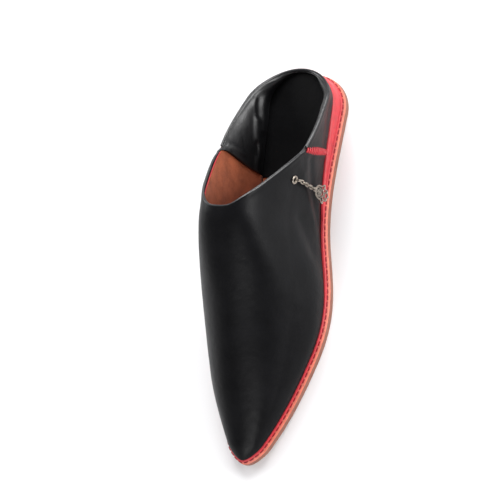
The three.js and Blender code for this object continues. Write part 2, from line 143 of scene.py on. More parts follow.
# ------------------------------------------------------------------ the last
HEEL_BACK = SOLE_MARGIN         # where the upper starts, at the back of the heel
TOE_TIP = SOLE_LENGTH - SOLE_MARGIN
HEEL_ROUND = 24.0               # length of the outline's round heel
TOE_ROUND = 10.0                # length of the outline's round tip
WEDGE_END = 103.0
TOE_SPRING = 2.5                # how far the sole's end lifts
SPRING_START = 205.0
COLLAR_BACK = 24.0              # height of the rim at the back of the heel
NOTCH_STATION = 68.0            # where the quarter's rim meets the throat's
NOTCH_HEIGHT = 53.0
THROAT_STATION = 118.0          # the highest point of the throat
TOE_HEIGHT = 15.5               # height that the vamp's line comes down to
NOSE = 5.0                      # how far before the tip it would reach that height
NOSE_ROUND = 8.5                # length over which it drops to the sole
QUARTER_TOP = 95.0              # height at which the heel's sections would close
QUARTER_RUN = 40.0              # how far behind the throat they reach that height
RIDGE_EASE = 0.335              # slope by which the vamp's line starts flatter
RIDGE_RUN = 13.0                # how far that flatter start reaches
SWELL = 0.05                    # swelling of the vamp's walls, as part of their width
SWELL_START = 60.0
SWELL_TOP = 0.5                 # part of the ridge's rise at which the swelling ends
TOE_TAPER = 68.0                # how far before the tip the swelling starts to fade
EYELET_STATION = 88.0
EYELET_HEIGHT = 53.0

# Half width where the upper meets the sole: station, half width.
OUTLINE = [(18, 25.6), (45, 25.0), (80, 24.8), (115, 29.4), (148, 38.0), (178, 39.8),
           (205, 33.6), (230, 25.0), (250, 16.0), (266, 7.2)]
# Squareness of the cross sections: station, power of the superellipse.
SECTIONS = [(0, 2.5), (70, 2.7), (118, 2.9), (168, 1.95), (240, 2.1), (268, 1.95)]
# Outward lean of the heel quarter: station, flare.
LEAN = [(0, 1.1), (20, 1.15), (45, 1.15), (70, 0.85), (92, 0.3), (104, 0.1), (114, 0.018),
        (124, 0.0)]
# Edge of the throat, seen from the side: station, height.
THROAT = [(68, 53), (80, 63), (91, 72), (102, 81), (112, 88.6), (118, 91)]
# Lines over the upper: part of the way round, station at the sole, station at the rim.
FAN = [(0.0, 2, 2), (0.34, 57, 68), (0.5, 104, 88), (0.66, 165, 106),
       (0.83, 232, 116.4), (1.0, 266, 118)]
FAN_CENTRE = 120.0
SEAM = 0.34                     # part of the way round at which the side seam lies


def curve_through(points):
    """Natural cubic through (x, y) points, level beyond its ends: between two points
    it is their straight line plus the cubic that its second differences ask for."""
    x, y = np.array(points, float).T
    gaps, rises = np.diff(x), np.diff(y)
    count = len(x)
    system, turns = np.eye(count), np.zeros(count)
    for i in range(1, count - 1):
        system[i, i - 1:i + 2] = gaps[i - 1], 2 * (gaps[i - 1] + gaps[i]), gaps[i]
        turns[i] = 6 * (rises[i] / gaps[i] - rises[i - 1] / gaps[i - 1])
    bend = np.linalg.solve(system, turns)

    def at(value):
        value = np.clip(value, x[0], x[-1])
        i = np.clip(np.searchsorted(x, value) - 1, 0, count - 2)
        a, b = (x[i + 1] - value) / gaps[i], (value - x[i]) / gaps[i]
        cubic = (a ** 3 - a) * bend[i] + (b ** 3 - b) * bend[i + 1]
        return a * y[i] + b * y[i + 1] + cubic * gaps[i] ** 2 / 6
    return at


def clamp01(value):
    return np.clip(value, 0.0, 1.0)


def unit(vectors):
    """Vectors scaled to length 1."""
    return vectors / np.maximum(np.linalg.norm(vectors, axis=-1, keepdims=True), 1e-12)


def mix(a, b, part):
    return a + (b - a) * part


def rounded(part):
    """Height of a quarter circle, from 0 at part 0 to 1 from part 1 on."""
    return np.sqrt(clamp01(part) * (2 - clamp01(part)))


def smooth(low, high, value):
    """0 below low, 1 above high, and 3t^2 - 2t^3 between them."""
    part = clamp01((value - low) / (high - low))
    return part * part * (3 - 2 * part)


def bump(value, centre, width):
    """A soft hump, exp(-((value - centre) / width)^2)."""
    return np.exp(-((value - centre) / width) ** 2)


outline_half = curve_through(OUTLINE)
squareness = curve_through(SECTIONS)
flare_at = curve_through(LEAN)
throat_height = curve_through(THROAT)


def half_width(station):
    """Half width at the sole: the outline, closed as a quarter ellipse at both ends."""
    heel = rounded((station - HEEL_BACK) / HEEL_ROUND)
    return outline_half(station) * heel * rounded((TOE_TIP - station) / TOE_ROUND)


def spring(station):
    """Lift of the sole towards the toe, growing with the square of the distance."""
    part = np.maximum(0.0, station - SPRING_START) / (SOLE_LENGTH - SPRING_START)
    return TOE_SPRING * part ** 2


def wedge_rise(station):
    """Extra height of the foot, straight down from the heel's back to the wedge's end."""
    return sizes().wedge_rise / MM * np.maximum(0.0, 1 - station / WEDGE_END)


def foot_height(station):
    return FOOT_LEVEL + spring(station) + wedge_rise(station)


def ridge_height(station):
    """Height of the middle line: behind the throat a parabola up to the quarter's top,
    before it a straight line with an eased start and a quarter ellipse at the nose."""
    part = clamp01((THROAT_STATION - station) / QUARTER_RUN)
    rear = mix(THROAT_HEIGHT, QUARTER_TOP, part * (2 - part))
    along = (station - THROAT_STATION) / (TOE_TIP - NOSE - THROAT_STATION)
    past = np.maximum(0.0, station - THROAT_STATION)
    ease = RIDGE_EASE * past * np.exp(-past / RIDGE_RUN)
    line = mix(THROAT_HEIGHT, TOE_HEIGHT, along) + ease
    foot = foot_height(station)
    front = foot + (line - foot) * rounded((TOE_TIP - station) / NOSE_ROUND)
    return np.where(station < THROAT_STATION, rear, front)


def placed(station, side, height):
    """Shoe terms in millimetres to points of the frame in metres."""
    return np.stack([side, SOLE_LENGTH / 2 - station, height], axis=-1) * MM


def in_shoe_terms(points):
    """Station, side and height in millimetres of points of the frame."""
    return (SOLE_LENGTH / 2 - points[..., 1] / MM, points[..., 0] / MM, points[..., 2] / MM)


def last_point(station, turn, side):
    """Superellipse section at a station: the side is the half width times cos(turn),
    the height the ridge's times sin(turn), each to the power 2 / squareness, with
    the vamp's walls swollen and the heel quarter's flared."""
    power = 2 / squareness(station)
    rise = clamp01(np.sin(turn)) ** power
    reach = clamp01(np.cos(turn)) ** power
    vamp = smooth(SWELL_START, THROAT_STATION, station)
    vamp = vamp * smooth(TOE_TIP, TOE_TIP - TOE_TAPER, station)
    swell = 1 + SWELL * np.sin(np.pi * clamp01(rise / SWELL_TOP)) * vamp
    flare = 1 + flare_at(station) * rise
    height = mix(foot_height(station), ridge_height(station), rise)
    return placed(station, side * half_width(station) * reach * swell * flare, height)


def rim_height(station):
    """Height of the rim: a straight collar as far as the notch, then the throat."""
    part = (station - HEEL_BACK) / (NOTCH_STATION - HEEL_BACK)
    collar = mix(COLLAR_BACK, NOTCH_HEIGHT, part)
    return np.where(station < NOTCH_STATION, collar, throat_height(station))


def turn_at(station, height):
    """Turn of the section that reaches a height, last_point's rise solved for it."""
    foot = foot_height(station)
    rise = clamp01((height - foot) / (ridge_height(station) - foot))
    return np.arcsin(rise ** (squareness(station) / 2))


def rim_turn(station):
    return turn_at(station, rim_height(station))


def lengths_along(points):
    """Length from a line's start to each of its points."""
    steps = np.linalg.norm(np.diff(points, axis=0), axis=1)
    return np.concatenate([[0], np.cumsum(steps)])


def by_length(points, stations):
    """Station as a function of the length along a line, and the length of a station."""
    length = lengths_along(points) / MM
    return (lambda value: np.interp(value, length, stations),
            lambda value: np.interp(value, stations, length))


def dense_stations(low, high, count=4001):
    """Stations that crowd towards both ends."""
    return mix(low, high, (1 - np.cos(np.linspace(0, np.pi, count))) / 2)


class Fan:
    """The lines that run over the upper from the sole's edge to its rim, spaced
    evenly by length along both. They are straight where a station stands against the
    section's reach, in an outline that closes like an ellipse round the toe."""

    def __init__(self):
        feet = dense_stations(HEEL_BACK, TOE_TIP)
        rims = dense_stations(HEEL_BACK, THROAT_STATION)
        foot_line = placed(feet, half_width(feet), foot_height(feet))
        rim_line = last_point(rims, rim_turn(rims), 1.0)
        self.foot_station, foot_length = by_length(foot_line, feet)
        self.rim_station, rim_length = by_length(rim_line, rims)
        self.foot_at = curve_through([(part, foot_length(foot)) for part, foot, _ in FAN])
        self.rim_at = curve_through([(part, rim_length(rim)) for part, _, rim in FAN])

    @staticmethod
    def edge(station):
        """Reach of the fan's outline: 1 up to its centre, then an ellipse to the tip."""
        part = np.maximum(0.0, station - FAN_CENTRE) / (TOE_TIP - FAN_CENTRE)
        return np.sqrt(clamp01(1 - part * part))

    def point(self, loop, up):
        """Point of the upper: loop runs from 0 at the heel's back over 1 at the toe to
        2 at the heel again, the charm's side first, and up from 0 at the sole to 1. A
        line's reach falls as the section does at its rim, cos(turn) to the power
        2 / squareness, and its station moves in step from the sole's to the rim's."""
        loop = np.mod(loop, 2.0)
        part = 1 - np.abs(1 - loop)
        side = np.where(loop <= 1, 1.0, -1.0)
        foot = self.foot_station(self.foot_at(part))
        rim = self.rim_station(self.rim_at(part))
        turn = rim_turn(rim)
        power = 2 / squareness(rim)
        rim_reach = clamp01(np.cos(turn)) ** power
        reached = 1 - clamp01(np.cos(turn * up)) ** power
        reached = reached / np.maximum(1 - rim_reach, 1e-9)
        station = mix(foot, rim, reached)
        across = mix(self.edge(foot), rim_reach, reached)
        reach = clamp01(across / np.maximum(self.edge(station), 1e-6))
        section = np.arccos(clamp01(reach ** (squareness(station) / 2)))
        return last_point(station, section, side)

    def seam(self, up):
        """Place of the side seam on the loop at each part of the way up: its station
        goes evenly with its height, found in a few steps of Newton's method."""
        ends = in_shoe_terms(self.point(SEAM, np.array([0.0, 1.0])))
        loop, step = np.full(np.shape(up), SEAM), 0.001
        for _ in range(8):
            station, _, height = in_shoe_terms(self.point(loop, up))
            ahead, _, _ = in_shoe_terms(self.point(loop + step, up))
            rise = (height - ends[2][0]) / (ends[2][1] - ends[2][0])
            loop = loop + step * (mix(*ends[0], rise) - station) / (ahead - station)
        return loop

    def per_part(self, loop, up):
        """Millimetres along the upper for one whole part of the loop."""
        step = 0.002
        run = self.point(loop + step, up) - self.point(loop - step, up)
        return np.linalg.norm(run, axis=-1) / MM / (2 * step)

    def surface(self, loop, up):
        """Points and outward normals, the normals from differences across them."""
        loop, up = np.broadcast_arrays(np.asarray(loop, float), np.asarray(up, float))
        step = 0.004
        low, high = np.clip(up - step, 0, 1), np.clip(up + step, 0, 1)
        rise = self.point(loop, high) - self.point(loop, low)
        along = self.point(loop + step, up) - self.point(loop - step, up)
        normal = np.cross(rise, along)
        normal[up <= 0, 2] = 0.0
        return self.point(loop, up), unit(normal)


# ------------------------------------------------------------------ meshes
def quads_of(rows, columns, wrap_rows, wrap_columns):
    """Corner indices of a grid's quads, rows first."""
    r = np.arange(rows if wrap_rows else rows - 1)[:, None]
    c = np.arange(columns if wrap_columns else columns - 1)[None, :]
    r1, c1 = (r + 1) % rows, (c + 1) % columns
    corners = [r * columns + c, r1 * columns + c, r1 * columns + c1, r * columns + c1]
    return np.stack(np.broadcast_arrays(*corners), axis=-1).reshape(-1, 4)


def mesh_of(points, quads, triangles=None):
    """Mesh from points and face corners, put in as whole arrays."""
    mesh = bpy.data.meshes.new("piece")
    triangles = np.zeros((0, 3), int) if triangles is None else triangles
    mesh.vertices.add(len(points))
    mesh.vertices.foreach_set("co", np.asarray(points, np.float32).ravel())
    corners = np.concatenate([quads.ravel(), triangles.ravel()])
    totals = np.concatenate([np.full(len(quads), 4), np.full(len(triangles), 3)])
    mesh.loops.add(len(corners))
    mesh.loops.foreach_set("vertex_index", corners.astype(np.int32))
    mesh.polygons.add(len(totals))
    starts = np.concatenate([[0], np.cumsum(totals)[:-1]])
    mesh.polygons.foreach_set("loop_start", starts.astype(np.int32))
    mesh.polygons.foreach_set("use_smooth", np.ones(len(totals), bool))
    mesh.update(calc_edges=True)
    mesh.validate()
    return mesh


def joined(parts):
    """One mesh of several grids' points and quads."""
    starts = np.cumsum([0] + [len(points) for points, _ in parts[:-1]])
    quads = [quads + start for (_, quads), start in zip(parts, starts)]
    return mesh_of(np.concatenate([points for points, _ in parts]), np.concatenate(quads))


def end_cap(rows, columns, column, order):
    """Quads over one end of a profile loop, between its first and second half; an
    order of -1 turns them over."""
    near = np.arange(rows // 2 - 1)
    far = rows - 1 - near
    caps = np.stack([near, near + 1, far - 1, far], axis=-1) * columns + column
    return caps[:, ::order]


def closed_sheet(grid):
    """A profile loop (rows, an even number) carried along columns, shut at both ends."""
    rows, columns = grid.shape[:2]
    quads = [quads_of(rows, columns, True, False), end_cap(rows, columns, 0, 1),
             end_cap(rows, columns, columns - 1, -1)]
    return mesh_of(grid.reshape(-1, 3), np.concatenate(quads))


def paint_rows(mesh, columns, kinds):
    """Gives the faces between each two profile rows their material."""
    faces = np.zeros(len(mesh.polygons), np.int32)
    painted = np.repeat(kinds, columns - 1)
    faces[:len(painted)] = painted
    mesh.polygons.foreach_set("material_index", faces)


def turned_outward(mesh):
    """Makes every face of a closed mesh point outwards."""
    work = bmesh.new()
    work.from_mesh(mesh)
    bmesh.ops.remove_doubles(work, verts=work.verts, dist=1e-7)
    bmesh.ops.recalc_face_normals(work, faces=work.faces)
    if work.calc_volume(signed=True) < 0:
        bmesh.ops.reverse_faces(work, faces=work.faces)
    work.to_mesh(mesh)
    work.free()


def add_piece(name, mesh, material, body="shoe", replaces=()):
    """Puts a mesh into the scene as a named piece that rides a body."""
    turned_outward(mesh)
    mesh.name = name
    piece = bpy.data.objects.new(name, mesh)
    bpy.context.scene.collection.objects.link(piece)
    for each in material if isinstance(material, (list, tuple)) else (material,):
        mesh.materials.append(each)
    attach(piece, body)
    if replaces:
        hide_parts(*replaces)
    return piece


def frames_along(path, closed, up):
    """A path's direction, and two across it: square to up, and square to both."""
    if closed:
        along = np.roll(path, -1, axis=0) - np.roll(path, 1, axis=0)
    else:
        along = np.gradient(path, axis=0)
    along = unit(along)
    side = unit(np.cross(along, np.broadcast_to(up, along.shape)))
    return along, side, np.cross(side, along)


def wire(path, radius, closed=False, up=(1.0, 0.0, 0.0), sides=10, flat=1.0):
    """Round wire along a path, pressed flat in the second direction across it. Its
    open ends are half balls: the radius there shrinks as a quarter circle."""
    path = np.asarray(path, float)
    size = np.ones(len(path))
    if not closed:
        along, _, _ = frames_along(path, False, up)
        cap = np.array([1.0, 0.86, 0.5, 0.0])           # sines of the half ball's rings
        shrink = np.sqrt(1 - cap ** 2)
        head = path[:1] - along[:1] * (cap[:, None] * radius)
        tail = path[-1:] + along[-1:] * (cap[::-1][:, None] * radius)
        path = np.concatenate([head[:-1], path, tail[1:]])
        size = np.concatenate([shrink[:-1], size, shrink[::-1][1:]])
        size[[0, -1]] = 0.02
    _, side, over = frames_along(path, closed, up)
    turn = np.linspace(0, 2 * np.pi, sides, endpoint=False)[:, None, None]
    reach = (radius * size)[None, :, None]
    grid = path + reach * (side * np.cos(turn) + over * flat * np.sin(turn))
    quads = [quads_of(sides, len(path), True, closed)]
    if not closed:
        quads += [end_cap(sides, len(path), 0, -1),
                  end_cap(sides, len(path), len(path) - 1, 1)]
    return grid.reshape(-1, 3), np.concatenate(quads)


# ------------------------------------------------------------------ shaders
class Socket:
    """A shader value: operators on it add Math nodes."""

    def __init__(self, graph, socket):
        self.graph = graph
        self.socket = socket

    def _math(self, operation, first, second):
        return self.graph.node("ShaderNodeMath", {"operation": operation}, {0: first, 1: second})

    def __add__(self, other):
        return self._math("ADD", self, other)

    def __radd__(self, other):
        return self._math("ADD", other, self)

    def __sub__(self, other):
        return self._math("SUBTRACT", self, other)

    def __rsub__(self, other):
        return self._math("SUBTRACT", other, self)

    def __mul__(self, other):
        return self._math("MULTIPLY", self, other)

    def __rmul__(self, other):
        return self._math("MULTIPLY", other, self)

    def __truediv__(self, other):
        return self._math("DIVIDE", self, other)

    def __rtruediv__(self, other):
        return self._math("DIVIDE", other, self)

    def clamped(self):
        return self._math("MAXIMUM", self._math("MINIMUM", self, 1.0), 0.0)

    def steps(self, low, high):
        """0 below low and 1 above high, straight between."""
        return ((self - low) / (high - low)).clamped()


class Graph:
    """A node tree round one shader."""

    def __init__(self, tree, shader):
        self.tree = tree
        self.shader = tree.nodes[shader]

    def node(self, kind, settings, inputs, output=0):
        """Adds a node: its settings first, then the values or links of its sockets."""
        made = self.tree.nodes.new(kind)
        for key, value in settings.items():
            if key == "stops":
                self._set_stops(made.color_ramp, value)
            else:
                setattr(made, key, value)
        for key, value in inputs.items():
            target = made.inputs[key]
            if isinstance(value, Socket):
                self.tree.links.new(value.socket, target)
            else:
                target.default_value = (*value, 1.0) if target.type == "RGBA" else value
        return Socket(self, made.outputs[output])

    @staticmethod
    def _set_stops(ramp, stops):
        while len(ramp.elements) > 1:
            ramp.elements.remove(ramp.elements[0])
        for index, (place, colour) in enumerate(stops):
            element = ramp.elements[0] if index == 0 else ramp.elements.new(place)
            element.position = place
            element.color = (*colour, 1.0)

    def link(self, socket, value):
        self.tree.links.new(value.socket, self.shader.inputs[socket])
        return self


class Finish(Graph):
    """A material round its Principled shader; place is Object coordinates in
    millimetres."""

    def __init__(self, name, roughness, **constants):
        self.material = bpy.data.materials.new(name)
        self.material.use_nodes = True
        super().__init__(self.material.node_tree, "Principled BSDF")
        for socket, value in {"Roughness": roughness, **constants}.items():
            self.shader.inputs[socket.replace("_", " ")].default_value = value
        place = self.node("ShaderNodeTexCoord", {}, {}, "Object")
        self.place = self.node("ShaderNodeVectorMath", {"operation": "SCALE"},
                               {0: place, "Scale": 1 / MM})

    def mapped(self, socket, value):
        """The place, scaled or turned."""
        return self.node("ShaderNodeMapping", {}, {"Vector": self.place, socket: value})

    def noise(self, size, detail=2.0, roughness=0.5, place=None):
        """Cloudy noise whose blotches are about size millimetres wide."""
        inputs = {"Vector": place or self.place, "Scale": 1.0 / size, "Detail": detail,
                  "Roughness": roughness}
        return self.node("ShaderNodeTexNoise", {}, inputs)

    def cells(self, size):
        """Distance to the nearest of points scattered about size millimetres apart."""
        inputs = {"Vector": self.place, "Scale": 1.0 / size}
        return self.node("ShaderNodeTexVoronoi", {}, inputs)

    def blend(self, part, low, high):
        """Colour between two others."""
        ends = {0: part, 6: low, 7: high}
        return self.node("ShaderNodeMix", {"data_type": "RGBA"}, ends, output=2)

    def tint(self, part, colour, dark, light):
        """Gives the base a colour's darker shade at part 0, its lighter one at 1."""
        mixed = self.blend(part, shade(colour, dark), shade(colour, light))
        return self.link("Base Color", mixed)

    def relief(self, height, depth, strength, below=None):
        """Bump of a height, its depth in millimetres, over another bump."""
        inputs = {"Strength": strength, "Distance": depth * MM, "Height": height}
        if below is not None:
            inputs["Normal"] = below
        return self.node("ShaderNodeBump", {}, inputs)

    def with_relief(self, *relief):
        """The finished material, its normals from a relief."""
        return self.link("Normal", self.relief(*relief)).material


def shade(colour, factor):
    """A colour made lighter or darker."""
    return tuple(min(1.0, channel * factor) for channel in colour)


def upper_leather(name, colour, roughness, grain, shine):
    """Smooth calf: a soft sheen, fine pebbled grain and long faint wrinkles."""
    graph = Finish(name, roughness, Specular_IOR_Level=shine)
    pebbles, fine, broad = graph.cells(0.85), graph.noise(0.45, 3.0), graph.noise(16.0, 3.0)
    wrinkles = graph.relief(graph.noise(5.0, 3.0), 0.4, 0.45)
    graph.tint(broad.steps(0.35, 0.7), colour, 0.8, 1.25)
    graph.link("Roughness", broad * 0.16 + fine * 0.1 + (roughness - 0.13))
    return graph.with_relief(pebbles * 0.6 + fine * 0.4, grain, 0.55, wrinkles)


def crimson_leather(name, colour):
    """Waxed crimson leather with a faint mottle and fine grain."""
    graph = Finish(name, 0.48, Coat_Weight=0.08, Coat_Roughness=0.35)
    mottle = graph.noise(5.0, 4.0)
    graph.tint(mottle.steps(0.3, 0.75), colour, 0.78, 1.12)
    graph.link("Roughness", mottle * 0.25 + 0.36)
    return graph.with_relief(graph.cells(0.7), 0.06, 0.6)


def suede(name, colour):
    """Brushed suede: blotches where the nap lies differently, over a short fuzz."""
    graph = Finish(name, 0.95, Sheen_Weight=0.1, Sheen_Roughness=0.5,
                   Specular_IOR_Level=0.15)
    blotch, fuzz = graph.noise(9.0, 4.0, 0.6), graph.noise(0.5, 4.0, 0.7)
    graph.tint((blotch * 0.75 + fuzz * 0.25).steps(0.32, 0.68), colour, 0.62, 1.3)
    return graph.with_relief(fuzz + blotch, 0.22, 0.7)


def cut_edge(name, colour):
    """Burnished cut edge of sole leather, with the layers' faint lines."""
    graph = Finish(name, 0.5, Coat_Weight=0.1, Coat_Roughness=0.4)
    layers = graph.noise(1.0, 3.0, place=graph.mapped("Scale", (0.12, 0.12, 2.6)))
    patch = graph.noise(6.0, 3.0)
    graph.tint((layers * 0.6 + patch * 0.4).steps(0.3, 0.7), colour, 0.68, 1.2)
    graph.link("Roughness", layers * 0.2 + 0.42)
    return graph.with_relief(layers, 0.12, 0.6)


def dyed_bevel(name, colour):
    """Dyed and waxed bevel, a little worn to a paler tone."""
    graph = Finish(name, 0.5)
    patch = graph.noise(3.0, 4.0)
    graph.tint(patch.steps(0.35, 0.75), colour, 0.8, 1.12)
    graph.link("Roughness", patch * 0.2 + 0.4)
    return graph.with_relief(graph.noise(0.6, 3.0), 0.06, 0.5)


def tread_leather(name, colour):
    """Underside of the sole: smooth vegetable-tanned leather with long scuffs."""
    graph = Finish(name, 0.55)
    scuffs = graph.noise(1.4, 5.0, 0.65, graph.mapped("Scale", (0.9, 0.12, 1.0)))
    patch = graph.noise(24.0, 3.0)
    graph.tint((scuffs * 0.45 + patch * 0.55).steps(0.3, 0.7), colour, 0.75, 1.12)
    graph.link("Roughness", scuffs * 0.3 + 0.4)
    return graph.with_relief(scuffs, 0.1, 0.5)


def waxed_thread(name, colour):
    """Waxed thread, its strands as fine slanting ribs."""
    graph = Finish(name, 0.42)
    inputs = {"Vector": graph.mapped("Rotation", (0.6, 0.6, 0.5)), "Scale": 1.1,
              "Distortion": 0.6, "Detail": 1.0}
    strands = graph.node("ShaderNodeTexWave", {}, inputs, "Fac")
    graph.tint(strands * 0.5 + graph.noise(2.5) * 0.5, colour, 0.6, 1.15)
    return graph.with_relief(strands, 0.12, 0.7)


def silver_with_painted_shade(name, colour, painted_shade_x):
    """Cast silver with painted light and shade: lighter on its side away from the shoe's
    middle, darker on its side towards it, with a random blotchy tone over both. The last
    argument is the x, in millimetres from the frame's middle, below which it lies in painted
    shade."""
    graph = Finish(name, 0.3, Metallic=1.0)
    patch = graph.noise(1.1, 4.0, 0.6)
    # Painted light and shade by side: towards the shoe darkened to 0.1 of the colour, away from
    # it lightened to 1.25
    side = graph.node("ShaderNodeSeparateXYZ", {}, {0: graph.place}, "X")
    lit_side = side.steps(painted_shade_x, painted_shade_x + 0.7)
    graph.tint((lit_side * 0.8 + patch * 0.5 - 0.15).clamped(), colour, 0.1, 1.25)
    graph.link("Roughness", patch * 0.25 + 0.2)
    return graph.with_relief(graph.noise(0.25, 3.0), 0.04, 0.5)


def pale_floor(name):
    """Plain, nearly white, matt."""
    graph = Finish(name, 0.8)
    cloud = graph.noise(400.0, 1.0)
    pale = graph.blend(cloud, (0.86, 0.86, 0.865), (0.88, 0.88, 0.885))
    return graph.link("Base Color", pale).material


# ------------------------------------------------------------------ upper
ROLL = 10                       # rings round the rim's rolled edge, an even number
WALL_ROWS = 84                  # rows of the leather's outer face
MIDDLE_ROW = 40                 # row at which a column's length is taken
TUCK = 0.9                      # depth of the tuck over the sole, and its height
BEAD = 0.12                     # height of the folded rim's bead
EDGE_DROP = 0.55                # how far the seam edges round over
EDGE_DIP = 0.045                # how far they dip at the rim, as part of the way up
SEAM_GAP = 0.45                 # from the seam's line to each leather's edge

# Creases pressed into the upper: side, from (station, height) to (station,
# height), half width, and depth outwards, all in millimetres.
CREASES = [
    (1, (72, 40), (104, 14), 4.5, -0.8),
    (1, (81, 43), (112, 17), 4.4, 0.6),
    (1, (110, 38), (126, 25), 6.0, -0.8),
    (1, (74, 50), (92, 30), 3.2, -0.35),
    (-1, (74, 42), (108, 15), 4.5, -0.7),
    (-1, (84, 46), (118, 22), 5.0, 0.5),
    (1, (20, 30), (52, 24), 5.0, -0.5),
    (-1, (16, 28), (50, 25), 5.0, -0.5),
    (1, (128, 66), (150, 30), 9.0, -0.45),
    (-1, (126, 64), (152, 34), 9.0, -0.45),
    (1, (172, 30), (206, 20), 7.0, -0.3),
    (-1, (168, 34), (204, 22), 7.0, -0.3),
]


def crease_depth(points, creases):
    """Sum of the creases: each is a soft trough or ridge, a Gaussian of the distance
    to its line in station and height, kept to its own side."""
    station, side, height = in_shoe_terms(points)
    depth = np.zeros(station.shape)
    for which, start, end, width, rise in creases:
        run = np.array([end[0] - start[0], end[1] - start[1]], float)
        ahead, above = station - start[0], height - start[1]
        along = clamp01((ahead * run[0] + above * run[1]) / (run @ run))
        gap = np.hypot(ahead - along * run[0], above - along * run[1])
        depth += rise * bump(gap, 0.0, width) * smooth(1, 9, which * side)
    return depth


def waves(points, spans):
    """Slow swelling of draped leather: products of sines, spans wide."""
    station, side, height = in_shoe_terms(points)
    total = np.zeros(station.shape)
    for span, size in spans:
        total += size * (np.sin(station / span + 0.7) * np.cos(side / span * 0.9 + height / span)
                         + 0.5 * np.sin((station + height) / span * 1.7 + 2.1))
    return total


def from_line(points, line):
    """Distance in millimetres of each point of a grid from the nearest of a line's."""
    gaps = [np.linalg.norm(row[:, None] - line[None], axis=-1).min(axis=1) for row in points]
    return np.array(gaps) / MM


def outer_relief(points, up, length):
    """Offset of the leather's outer face: creases and slow waves that die out at both
    edges, a tuck where it goes under the sole, and the bead of its folded rim."""
    above, below = up * length, from_line(points, points[-1])
    middle = smooth(1.0, 8.0, above) * smooth(1.5, 9.0, below)
    body = crease_depth(points, CREASES) + waves(points, ((11.0, 0.1), (23.0, 0.14)))
    return body * middle - TUCK * bump(above, 0.0, TUCK) + BEAD * bump(below, 1.3, 1.2)


def column_lengths(fan, loop):
    """Length in millimetres of each of the fan's lines from the sole to the rim."""
    ups = np.linspace(0, 1, 25)[:, None]
    line = fan.point(loop[None, :], ups)
    return np.linalg.norm(np.diff(line, axis=0), axis=-1).sum(axis=0) / MM


def row_places(count):
    """Places up the wall, closer together at the sole and at the rim."""
    part = np.linspace(0, 1, count)
    return part - 0.11 * np.sin(2 * np.pi * part)


def offset_faces(fan, loop, ups, outer, inner):
    """Points and normals of the upper, and the points moved out along the normals by
    two offsets in metres, each one number or one for each point."""
    points, normals = fan.surface(loop, ups)
    outside, inside = (points + normals * np.asarray(offset)[..., None]
                       for offset in (outer, inner))
    return points, normals, outside, inside


def leather_solid(fan, loop, ups, outer, inner):
    """Profile rows of a closed wall of leather: the outer face up, round the rim as
    half a circle, and the inner face down."""
    points, normals, outside, inside = offset_faces(fan, loop, ups, outer, inner)
    outside[0, :, 2] = inside[0, :, 2] = points[0, :, 2]
    top = unit(points[-1] - points[-2])
    centre = (outside[-1] + inside[-1]) / 2
    radius = np.linalg.norm(outside[-1] - inside[-1], axis=-1, keepdims=True) / 2
    turn = np.linspace(0, np.pi, ROLL + 2)[1:-1, None, None]
    roll = centre + radius * (normals[-1] * np.cos(turn) + top * np.sin(turn))
    return np.concatenate([outside, roll, inside[::-1]])


def thin_sheet(fan, loop, ups, outer, inner):
    """A thin closed sheet between two offsets from the upper's outer face."""
    _, _, outside, inside = offset_faces(fan, loop, ups, outer, inner)
    return closed_sheet(np.concatenate([outside, inside[::-1]]))


def seam_half(up):
    """Half width of the side seam's stitches in millimetres: a lens that is 0.4 +
    0.6 sin(pi up)^0.8 of the half width at its middle."""
    lens = 0.4 + 0.6 * np.sin(np.pi * clamp01(up)) ** 0.8
    return sizes().seam_width / MM / 2 * lens


def crowded(count):
    """Parts from 0 to 1 that crowd towards both ends."""
    part = np.linspace(0, 1, count)
    return mix(part, (1 - np.cos(np.pi * part)) / 2, 0.6)


def upper_piece(fan, name, materials, is_vamp, columns, lip, replaces=()):
    """One leather piece of the upper between the two side seams. Its seam edges are
    rounded over, stand up by a lip, and dip where they reach the rim."""
    ups = row_places(WALL_ROWS)[:, None]
    seam = fan.seam(ups)
    scale = fan.per_part(seam, np.minimum(ups, 0.999))
    gap = SEAM_GAP / scale
    start, end = (seam + gap, 2 - seam - gap) if is_vamp else (gap - seam, seam - gap)
    loop = mix(start, end, crowded(columns)[None, :])
    from_seam = np.minimum(loop - start, end - loop) * scale
    length = column_lengths(fan, loop[MIDDLE_ROW])[None, :]
    dip = 1 - EDGE_DIP * bump(from_seam, 0.0, 1.7)
    ups = ups * mix(1.0, dip, ups ** 6)
    points, _ = fan.surface(loop, ups)
    outer = outer_relief(points, ups, length)
    outer += lip * (bump(from_seam, 2.6, 1.1) - 0.7 * bump(from_seam, 6.0, 2.6))
    outer -= EDGE_DROP * bump(from_seam, 0.0, 0.7)
    grid = leather_solid(fan, loop, ups, outer * MM, -sizes().wall)
    mesh = closed_sheet(grid)
    kinds = np.zeros(len(grid), int)
    # The rolled rim takes the second material, the upper's leather made lighter: a painted
    # highlight along the rim
    kinds[len(ups) - 1:len(ups) + ROLL] = 1
    paint_rows(mesh, columns, kinds)
    return add_piece(name, mesh, materials, replaces=replaces)


class OBJECT_OT_slipper_upper(bpy.types.Operator):
    """Make the vamp and the heel quarter, with their rolled edges and creases"""
    bl_idname = "object.slipper_upper"
    bl_label = "Upper"

    def execute(self, context):
        fan = Fan()
        leathers = [upper_leather("black_leather", colours().upper, 0.4, 0.08, 0.12),
                    # The rim's leather: the upper's colour doubled as a painted highlight, over
                    # a glossier finish
                    upper_leather("rim_leather_painted_highlight", shade(colours().upper, 2.0), 0.3, 0.02, 0.7)]
        upper_piece(fan, "vamp", leathers, True, columns=460, lip=0.35, replaces=["upper"])
        upper_piece(fan, "heel_quarter", leathers, False, columns=240, lip=0.1)
        return {"FINISHED"}


